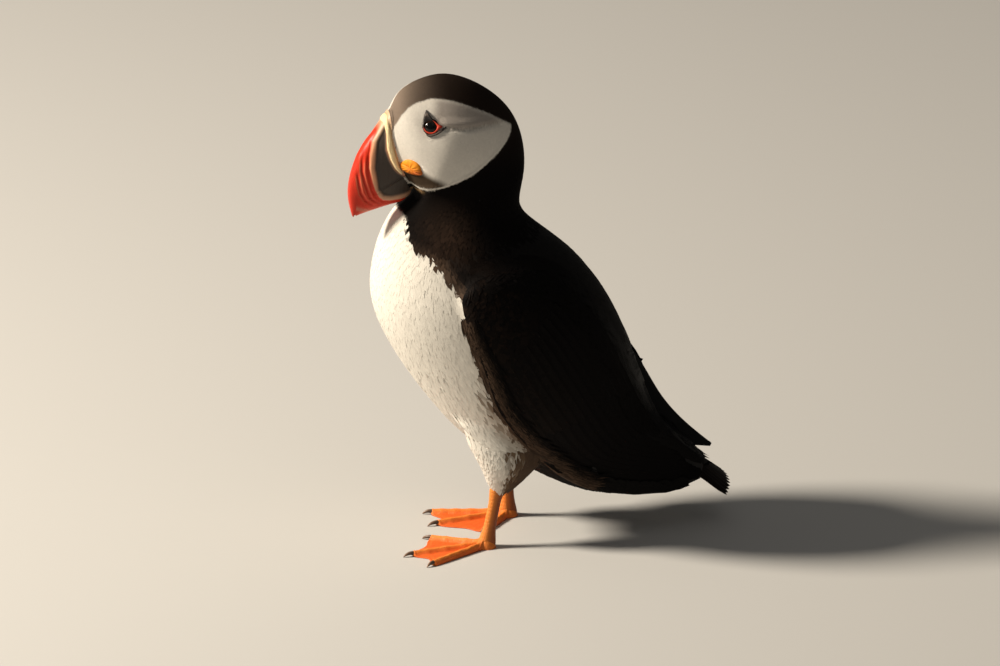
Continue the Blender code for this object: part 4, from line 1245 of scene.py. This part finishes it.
BILL_BOX = ((-92.0, 150.0), (-50.0, 210.0), 0.25)
in_band = chart_inside(BAND_AREA, *BILL_BOX)
in_grey = chart_inside(GREY_AREA, *BILL_BOX)


def bill_relief(p):
    """Grooves with raised lips in the red horn, a proud band and a sunken grey base."""
    y, z = p[..., 1], p[..., 2]
    high = np.zeros(y.shape)
    for deep, line in GROOVES:
        away, share = from_line(line, y, z)
        fade = soft(share, -0.02, 0.2) * (1 - 0.6 * soft(share, 0.8, 1.0))
        lips = 0.35 * bell((away - 1.2) / 0.7)
        high += 0.7 * deep * fade * (lips - bell(away / 0.6))
    band, grey = in_band(y, z), in_grey(y, z)
    high += 0.22 * bell((band - 0.9) / 0.9) - 0.18 * bell((band + 0.45) / 0.4)
    return high - 0.35 * soft(grey, 0.0, 1.2)


def bill_colour(p):
    """Scarlet in front, pale beside each groove as a painted highlight and darker in it as painted shade; a
    band, cream above, peach and then brown below as painted shade; slate behind.
    """
    y, z = p[..., 1], p[..., 2]
    # painted shade: the band browns towards its lower end
    band = mix(BAND_SHADE, BAND_PEACH, np.clip((z - 168) / 6, 0, 1))
    band = mix(band, BAND_CREAM, np.clip((z - 187) / 6, 0, 1))
    red = mix(BILL_RED, BILL_DEEP, soft(-y, 80, 90) * 0.5)
    for _, line in GROOVES[:2]:
        away, share = from_line(line, y, z)
        # painted highlight: a pale line beside each groove; painted shade: darker red in the groove
        lip_highlight = bell((away - 0.9) / 0.3) * soft(share, 0.1, 0.3) * (1 - share)
        red = mix(red, BAND_PEACH, 0.5 * lip_highlight)
        red = mix(red, BILL_DEEP, 0.5 * bell(away / 0.45))
    red = mix(red, TIP_BROWN, 0.55 * soft(157.5 - z, 0, 3.5))
    red = mix(red, KEEL_PALE, 0.5 * bell((z - 157.6 + 0.30 * (y + 80)) / 1.1) * (y > -85))
    colour = mix(red, band, soft(in_band(y, z), -0.35, 0.35))
    return mix(colour, BILL_GREY, soft(in_grey(y, z), -0.9, 1.0))


def bill_half(start, end, count, around, upper):
    """Rings of the bill above or below the mouth, closed by its flat cutting edge."""
    s = np.linspace(start, end, count)
    row = spline(BILL, s)
    slit = MOUTH_GAP / 2 / np.maximum(np.linalg.norm(row[:, 0:2] - row[:, 2:4], axis=1), 1.0)
    way = 1 if upper else -1
    edge = np.arccos(np.clip(2 * (row[:, 6] + way * slit) - 1, -0.99, 0.99))
    share = np.linspace(-1, 1, around)[None, :]
    turn = share * edge[:, None] if upper else math.pi + share * (math.pi - edge)[:, None]
    s, turn = np.broadcast_arrays(s[:, None], turn)
    at, _, _, out = local_frame(bill, s, turn)
    edge_fade = soft(1 - np.abs(share), 0.0, 0.03) * soft(BILL_END - s, 0.0, 0.4)
    at = at - out * (bill_relief(at) * edge_fade)[..., None]
    mouth = np.linspace(0, 1, 7)[None, 1:-1, None]
    return np.concatenate([at, at[:, -1:] + (at[:, :1] - at[:, -1:]) * mouth], 1)


def make_bill(horn):
    """The two halves, each a closed tube with a flat cutting edge."""
    for name, end, count, around, upper in BILL_HALVES:
        shape = tube(bill_half(BILL_START, end, count, around, upper))
        make_piece(name + "_horn", shape, horn, "bill_horn", bill_colour(shape[0]), replaces=(name,),
                   crisp=True)


CERE_TURNS = (0.0, 0.35, 0.76, 1.14, 1.44, 1.70, 1.86, 2.02)
CERE_FRONT = (0.66, 0.58, 0.52, 0.70, 0.67, 0.57, 0.42, 0.26)
CERE_REACH = 2.0
CERE_HIGH, CERE_CREST, CERE_BROAD = 0.85, 0.56, 0.34


def make_cere(material):
    """A fleshy ridge over the base of the upper bill, pitted and narrowing down to the gape, cream on its
    crest and tan at its foot as painted shade.
    """
    share, v = net(0, 1, 46, -CERE_REACH, CERE_REACH, 141)
    front = np.interp(np.abs(v), CERE_TURNS, CERE_FRONT)
    back = np.minimum(0.12 + 0.03 * np.cos(v), front - 0.12)
    at, _, _, out = local_frame(bill, back + (front - back) * share, v)
    taper = soft(CERE_TURNS[-1] - np.abs(v), 0.0, 0.25)
    ridge = CERE_HIGH - 0.35 * soft(1.0 - np.abs(v), 0, 0.8)
    ridge = ridge * np.exp(-(((share - CERE_CREST) / CERE_BROAD) ** 4))
    pits = 0.05 * np.sin(21 * v + 3 * np.sin(9 * share)) * bell((share - 0.5) / 0.3)
    high = (0.08 + (ridge + pits) * taper) * np.minimum(1, 7 * np.minimum(share, 1 - share))
    shape = slab(at - out * high[..., None], at + out * 0.6)
    # painted shade: the ridge turns tan at its foot on both sides
    tan = soft(np.abs(share - CERE_CREST), 0.28, 0.46)
    colour = np.concatenate([mix(CERE_CREAM, CERE_TAN, tan).reshape(-1, 3)] * 2)
    make_piece("cere_skin", shape, material, "cere", colour, replaces=("cere",))


def make_rosettes(material):
    """The fleshy fold at the corner of the mouth: a wrinkled cushion with a deep cleft along
    its length where the mouth closes."""
    far, angle = round_net(0.01, 1.08, 46, 120)
    size = 1 + 0.05 * np.cos(3 * angle + 1) + 0.03 * np.cos(5 * angle)
    along = ROSETTE_SIZE[0] * far * size * np.cos(angle)
    across = ROSETTE_SIZE[1] * far * size * np.sin(angle) * (1 - 0.28 * np.cos(angle))
    y, z = turned(along, across, ROSETTE_TILT)
    base = np.sqrt(np.clip(1 - np.minimum(far, 1) ** 2.4, 0, 1))
    wrinkle = 0.11 * np.cos(13 * angle + 2.2 * np.sin(2 * angle)) * np.sin(math.pi * np.minimum(far, 1))
    cleft = CLEFT_DEEP * bell((across + 0.25 * np.sin(along)) / CLEFT_WIDE) * soft(along, -5.0, -0.5)
    high = ROSETTE_HIGH * base + wrinkle - cleft * base - 0.8 * soft(far, 0.98, 1.08)
    at, out = on_flank(ROSETTE_AT[0] + y, ROSETTE_AT[1] + z)
    shape = tube(np.concatenate([at + out * high[..., None], (at - 1.2 * out)[-1:]]))
    # yellow in front and darker orange behind: partly the fold's own colour, partly painted shade
    behind = np.append(soft(along - across * 0.9, -1.0, 3.5), np.ones(len(angle[0]) + 2))
    colour = mix(ROSETTE_YELLOW, ROSETTE_ORANGE_AND_SHADE, behind)
    make_pairs(("rosette_fold", shape, material, "rosette", colour, "rosette"))


RING_ANGLES = np.radians((0, 12, 24, 45, 80, 130, 180, 223, 250, 275, 300, 323, 345, 360))
RING_REACH = (5.2, 4.0, 3.3, 2.95, 3.05, 3.1, 3.15, 3.4, 3.5, 3.4, 3.3, 3.4, 4.0, 5.2)
RING_INNER = 2.45
RING_HIGH, RING_SUNK = 1.15, 0.55
PUPIL_EDGE = (0.36, 0.40)  # angles from the eye's axis
CORNEA_HIGH = 0.28


def make_eyes(ball_finish, ring_finish):
    """Each eyeball, turned outwards with a brown iris round its pupil, in a red fleshy ring
    drawn to a point behind, whose upper front is painted dark grey as shade."""
    middle, out = on_flank(*EYE_AT)
    centre = middle - (EYE_RADIUS - EYE_PROUD) * out
    aside = unit(np.cross(out, (0.0, 0.0, 1.0)))
    over = np.cross(aside, out)
    polar, angle = round_net(0.02, 2.6, 90, 72)
    cornea = EYE_RADIUS + CORNEA_HIGH * soft(0.62 - polar, 0, 0.45)
    off_axis = np.cos(angle)[..., None] * aside + np.sin(angle)[..., None] * over
    way = np.cos(polar)[..., None] * out + np.sin(polar)[..., None] * off_axis
    ball = tube(centre + way * cornea[..., None])
    iris = mix(PUPIL, IRIS, np.append(soft(polar, *PUPIL_EDGE), (0.0, 1.0)))
    across, angle = round_net(0, 1, 22, 144)
    reach = np.interp(angle, RING_ANGLES, RING_REACH)
    far = RING_INNER + (reach - RING_INNER) * across
    y, z = EYE_AT[0] + far * np.cos(angle), EYE_AT[1] + 0.2 + far * np.sin(angle)
    at, normal = on_flank(y, z)
    high = (RING_HIGH + 0.05 * np.sin(34 * angle)) * np.sin(math.pi * across).clip(0) ** 0.6 - RING_SUNK
    ring = tube(np.concatenate([at + normal * high[..., None], (at - 1.5 * normal)[-1:]]))
    # painted shade: the ring's upper front turns dark grey
    shaded = soft(np.cos(angle - math.radians(128)), 0.0, 0.55)
    red = mix(RING_RED, PLATE_GREY, np.append(shaded, np.zeros(len(ring[0]) - shaded.size)))
    make_pairs(("eyeball", ball, ball_finish, "eye", iris, "eye"),
               ("eye_ring", ring, ring_finish, "rosette", red, None))


HORN = np.array(((-57.1, 200.2), (-54.8, 201.6), (-52.0, 201.3)))
HORN_TOP = (-55.0, 206.4)
HORN_BOW = 0.55
PLATE_SUNK = 0.3
PLATE_UPPER = np.array(((-56.6, 197.3), (-55.2, 196.3), (-51.3, 197.5), (-47.4, 199.7)))
PLATE_LOWER = np.array(((-56.1, 196.1), (-54.9, 195.2), (-50.9, 196.5), (-47.3, 199.2)))


def make_eye_plates(material):
    """The upright horn over the eye and the narrow plate under it, laid on the head as
    rounded scales."""
    up, share = net(0, 1, 28, 0, 1, 32)
    base = spline(HORN, share * 2)
    horn = base + (np.array(HORN_TOP) - base) * (up**0.9)[..., None]
    horn[..., 0] += HORN_BOW * np.sin(math.pi * up) * (0.5 - share) * -2 * (share < 0.5)
    upper, lower = spline(PLATE_UPPER, share * 3), spline(PLATE_LOWER, share * 3)
    plate = upper + (lower - upper) * up[..., None]
    for name, view, tall, ends in (("eye_horn", horn, 1.3, 0.6), ("eye_plate", plate, 0.45, 1.0)):
        at, out = on_flank(view[..., 0], view[..., 1])
        rim = np.minimum(np.minimum(share, 1 - share), np.minimum(up, 1 - up) * ends)
        high = (tall + PLATE_SUNK) * np.clip(rim / 0.28, 0, 1) ** 0.55 - PLATE_SUNK
        high = high + 0.06 * np.sin(30 * up + 4 * share)
        shape = slab(at + out * high[..., None], at - 0.9 * out)
        colour = np.concatenate([mix(PLATE_GREY, PLATE_PALE, soft(rim, 0.14, 0.34)).reshape(-1, 3)] * 2)
        make_pairs((f"{name}_scale", shape, material, "eye_plate", colour, name))


# ---- feet ----

def foot_outline(turn):
    """How far the foot reaches from the heel at each turn from the middle toe."""
    splay = np.radians([toe[2] for toe in TOES])
    long = np.array([toe[1] for toe in TOES])
    reach = np.full(turn.shape, HEEL_RADIUS)
    for k in range(2):
        share = (turn - splay[k]) / (splay[k + 1] - splay[k])
        edge = long[k] + (long[k + 1] - long[k]) * share
        edge = edge * (1 - WEB_SCALLOP * np.sin(math.pi * np.clip(share, 0, 1)) ** 2)
        reach = np.where((share >= 0) & (share <= 1), edge, reach)
    for k, way in ((0, -1), (2, 1)):
        beyond = (turn - splay[k]) * way
        half = np.arcsin(np.clip(TOE_WIDE / long[k], 0, 1))
        side = TOE_WIDE / np.maximum(np.sin(np.clip(beyond, half, math.pi / 2)), 1e-3)
        on_toe = (beyond > 0) & (beyond < math.pi / 2)
        reach = np.where(on_toe, np.maximum(HEEL_RADIUS, np.minimum(side, long[k])), reach)
    return reach


SCUTE_HIGH, TOE_SCUTE, SHIN_SCUTE = 0.16, 1.25, 1.7
DOME_HIGH, DOME_WIDE = 5.4, 5.6
TOE_JOINTS = ((0.36, 0.72), (0.30, 0.56, 0.80), (0.27, 0.48, 0.68, 0.86))


def foot_surface(far, turn):
    """Height of the foot's top and how much of a place is toe: webs with fine pleats along
    them, on each toe a row of scutes and a swelling at each joint, and a dome at the ankle."""
    high, toe_share = np.full(far.shape, WEB_HIGH), np.zeros(far.shape)
    pleats = 0.10 * np.sin(turn * 46 + 0.7 * np.sin(far * 0.6))
    pleats = pleats + 0.05 * np.sin(far * 2.1 + 6 * np.sin(turn * 9))
    high = high + pleats * soft(far, 6, 12)
    for (_, long, splay, _), joints in zip(TOES, TOE_JOINTS):
        off = turn - math.radians(splay)
        ahead, aside = far * np.cos(off), far * np.sin(off)
        swell = sum(bell((ahead / long - j) / 0.05) for j in joints)
        wide = TOE_WIDE * (0.78 + 0.12 * swell)
        ridge = np.exp(-(np.abs(aside / wide) ** 2.6)) * (ahead > 0)
        scute = SCUTE_HIGH * np.abs(np.sin(ahead * math.pi / TOE_SCUTE + 0.3 * np.sin(ahead))) ** 0.5
        tall = (TOE_HIGH - WEB_HIGH) * (1 - 0.25 * ahead / long) * (1 + 0.10 * swell) + scute
        high = np.maximum(high, WEB_HIGH + tall * ridge)
        toe_share = np.maximum(toe_share, ridge)
    dome = DOME_HIGH * bell(far / DOME_WIDE)
    high = high + (dome + np.sqrt((dome - high) ** 2 + 0.5) - high) / 2
    return high, np.maximum(toe_share, soft(7 - far, 0, 4))


def placed(points, side):
    """Points given with the middle toe along -y and outwards +x, set at the heel."""
    x, y, z = np.moveaxis(points, -1, 0)
    x, y = turned(x, y, FOOT_TURN[side])
    return (pack(x, y, z) + np.array([*HEEL[side], 0.0])) * FLIP[side]


def make_leg(side, material):
    """One scaled skin over the webbed foot and its tarsus, browner at the heel, on the sole and round the
    tarsus's rear as painted shade.
    """
    share = np.linspace(0, 1, 64)[:, None]
    turn = np.linspace(-math.pi, math.pi, 420, endpoint=False) + 0 * share
    far = 0.4 + (foot_outline(turn) - 0.4) * share
    high, toe = foot_surface(far, turn)
    web_edge = 0.22 * bell((share - 0.985) / 0.012)
    high = np.maximum(high + web_edge - 0.45 * soft(share, 0.90, 1.0) * (1 - toe), 0.35)
    heel = soft(7 - far[-1:], 0, 1.5)
    high = high * (1 - heel + heel * np.sqrt(np.clip(1 - share**3, 0, 1)))
    high[-1] = np.minimum(high[-1], 0.9)
    top = pack(far * np.sin(turn), -far * np.cos(turn), high)
    foot = tube(placed(np.concatenate([top, top[-1:] * (1, 1, 0)]), side))
    # painted shade: the foot browns towards the heel, and the sole is brown
    foot_tint = mix(mix(WEB_ORANGE, TOE_ORANGE, toe * 0.85), TARSUS_BROWN_AND_SHADE, 0.30 * soft(9 - far, 0, 6))
    sole = np.tile(TARSUS_BROWN_AND_SHADE, (len(turn[0]) + 2, 1))
    share, angle = round_net(0, 1, 90, 72)
    heel, ankle = np.array([*HEEL[side], 0.6]), np.array(ANKLE[side]) + (0, 0, 4.0)
    x, y, z = np.moveaxis(heel + (ankle - heel) * share[..., None], -1, 0)
    thick = 1 + 0.62 * bell(z / 6.5) + 0.30 * soft(z, 20, 28)
    scute = SCUTE_HIGH * np.abs(np.sin(z * math.pi / SHIN_SCUTE)) ** 0.5 * soft(-np.sin(angle), 0.1, 0.5)
    x = x + (TARSUS[1] * thick + scute) * np.cos(angle)
    y = y + (TARSUS[0] * thick + scute) * np.sin(angle)
    shin = tube(pack(x, y, z) * FLIP[side])
    # the tarsus's own brownish tone, deepening round its rear as painted shade
    brown = np.append(0.25 + 0.75 * soft(np.sin(angle), -0.7, 0.5), (1, 1))
    tint = np.concatenate([foot_tint.reshape(-1, 3), sole, mix(TOE_ORANGE, TARSUS_BROWN_AND_SHADE, brown)])
    make_piece(f"leg_skin_{side}", joined([foot, shin]), material, "leg_skin", tint,
               replaces=(f"foot_{side}", f"tarsus_{side}"))


NAIL_CURVE = 1.35


def make_claws(side, material):
    """Curved, flattened nails, each from the end of its toe down to the ground."""
    share, angle = round_net(0, 1, 36, 20)
    radius = 0.12 + 1.0 * (1 - share) ** 0.7
    up = (radius * 0.95 + 0.9 * np.cos(share * math.pi / 2) ** 1.2 * soft(share, -0.4, 0.5)
          + radius * np.sin(angle) * 0.95)
    pale = soft(share, 0.0, 0.9) * 0.5 + 0.3 * soft(np.sin(angle), 0.2, 1.0)
    colour = mix(CLAW_DARK, CLAW_PALE, np.append(pale, (0.0, 0.4)).clip(0, 1))
    for toe, long, splay, nail in TOES:
        ahead = long - 0.8 + (nail + 1.0) * np.sin(share * NAIL_CURVE) / math.sin(NAIL_CURVE)
        aside = 0.6 * share**2 * (-1 if toe == "inner" else 0.3) + 0.85 * radius * np.cos(angle)
        rings = pack(*turned(aside, -ahead, math.radians(splay)), up)
        make_piece(f"nail_{side}_{toe}", tube(placed(rings, side)), material, "claw", colour,
                   replaces=(f"claw_{side}_{toe}",))


# ---- studio ----

RIGHT = np.array((0.2419, 0.9703, 0.0))
BACK = np.array((0.9228, -0.2301, 0.3090))
UP = np.array((-0.2998, 0.0748, 0.9511))
AIM = np.array((-7.1, -16.05, 92.0))
CAMERA_FAR = 5600.0
LENS = 446.0
FLOOR_HALF = 6.0


# Name, direction, distance (m), width (m), power (W) and colour.
LIGHTS = (
    ("sun_side", -0.81 * RIGHT + 0.54 * UP + 0.21 * BACK, 2.2, 0.45, 92.0, (1.0, 0.90, 0.76)),
    ("open_side", 0.7 * BACK + 0.6 * UP + 0.3 * RIGHT, 3.0, 2.0, 2.0, (1.0, 0.96, 0.90)),
)
SKY_COLOUR = (1.0, 0.97, 0.92, 1.0)
SKY_STRENGTH = 0.12
FLOOR_COLOUR = (0.55, 0.54, 0.52, 1.0)


def look(made, towards):
    """Turn a lamp or camera towards a direction."""
    made.rotation_euler = Vector(towards).to_track_quat("-Z", "Y").to_euler()


def light(name, way, far, size, power, colour):
    """An area light at the distance far (metres) from the bird in the direction way."""
    lamp = bpy.data.lights.new(name, "AREA")
    lamp.shape, lamp.size, lamp.energy, lamp.color = "DISK", size, power, colour
    made = put(name, lamp)
    way = way / np.linalg.norm(way)
    made.location = AIM * MM + way * far
    look(made, -way)


def make_studio():
    """A warm light from the bill's side, a weak one from the camera's, a dim sky and a floor."""
    world = bpy.data.worlds.new("studio")
    bpy.context.scene.world = world
    world.use_nodes = True
    sky = world.node_tree.nodes["Background"]
    sky.inputs["Color"].default_value = SKY_COLOUR
    sky.inputs["Strength"].default_value = SKY_STRENGTH
    for row in LIGHTS:
        light(*row)
    mesh = bpy.data.meshes.new("floor")
    corners = ((-1, -1), (1, -1), (1, 1), (-1, 1))
    mesh.from_pydata([(x * FLOOR_HALF, y * FLOOR_HALF, 0) for x, y in corners], [], [(0, 1, 2, 3)])
    paper = bpy.data.materials.new("floor_paper")
    paper.use_nodes = True
    shader = paper.node_tree.nodes["Principled BSDF"]
    shader.inputs["Base Color"].default_value = FLOOR_COLOUR
    shader.inputs["Roughness"].default_value = 0.9
    mesh.materials.append(paper)
    floor = put("floor", mesh)
    eye = bpy.data.cameras.new("camera")
    eye.lens, eye.sensor_width, eye.clip_end = LENS, 36.0, 60.0
    made = put("camera", eye)
    made.location = (AIM + BACK * CAMERA_FAR) * MM
    look(made, -BACK)
    bpy.context.scene.camera = made
    bpy.context.scene.view_settings.view_transform = "Standard"


# Name, roughness, scale and amount of the mottle, specular level, relief and its scale, and
# the strength and height (mm) of its bump.
FINISHES = (
    ("down", 0.80, 900.0, 0.05, 0.025, (BARBS, 60.0), 0.25, 0.03),
    ("white_feather", 0.80, 500.0, 0.04, 0.10, (BARBS, 90.0), 0.25, 0.03),
    ("black_feather", 0.55, 500.0, 0.25, 0.03, (BARBS, 300.0), 0.3, 0.05),
    ("skin_under", 0.85, 700.0, 0.12, 0.5, (SCUTES, 900.0), 0.2, 0.05),
    ("bill_horn", 0.42, 500.0, 0.10, 0.25, (GROWTH, 160.0), 0.35, 0.08),
    ("fleshy_skin", 0.55, 1100.0, 0.16, 0.25, (SCUTES, 1400.0), 0.35, 0.08),
    ("leg_skin", 0.50, 700.0, 0.14, 0.3, (SCUTES, 900.0), 0.55, 0.15),
    ("eye_plate", 0.55, 1500.0, 0.30, 0.5, (GROWTH, 500.0), 0.35, 0.06),
    ("claw_horn", 0.38, 900.0, 0.30, 0.5, (GROWTH, 300.0), 0.3, 0.05),
)
# The coats between the head and the tail: name, slot, range of stations, columns, height at
# the root, rise to the tip, width as a share of the length, and raggedness.
COATS = (
    ("neck_feathers", "black_body_plumage", (6.2, 8.7), 150, -0.3, 0.22, 0.5, 0.06),
    ("breast_feathers", "white_body_plumage", (8.5, 11.6), 190, -0.20, 0.09, 0.34, 0.06),
    ("belly_feathers", "white_body_plumage", (11.4, 14.7), 180, -0.20, 0.14, 0.28, 0.12),
    ("rump_feathers", "white_body_plumage", (14.5, 16.9), 90, -0.4, 0.5, 0.4, 0.1),
)
SEED = 7


def main():
    """Every piece of the bird and its studio."""
    rng = np.random.default_rng(SEED)
    down, white, black, skin, horn, fleshy, scaly, plate, nail = (finish(*row) for row in FINISHES)
    wet = finish("eye_gloss", 0.06, 2000.0, 0.2, 0.15, Coat_Weight=0.2, Coat_Roughness=0.02)
    make_skin(skin)
    make_head_feathers(down, rng)
    for row in COATS:
        make_body_feathers(*row, white if row[1].startswith("white") else down, rng)
    make_thigh_feathers(white, rng)
    for side in SIDES:
        make_wing(side, black, skin, rng)
        make_mantle(side, black, rng)
        make_flank_fringe(side, black, rng)
        make_leg(side, scaly)
        make_claws(side, nail)
    make_tail(black, skin, rng)
    make_tail_coverts(black, rng)
    make_bill(horn)
    make_cere(fleshy)
    make_rosettes(fleshy)
    make_eyes(wet, fleshy)
    make_eye_plates(plate)
    make_studio()


main()
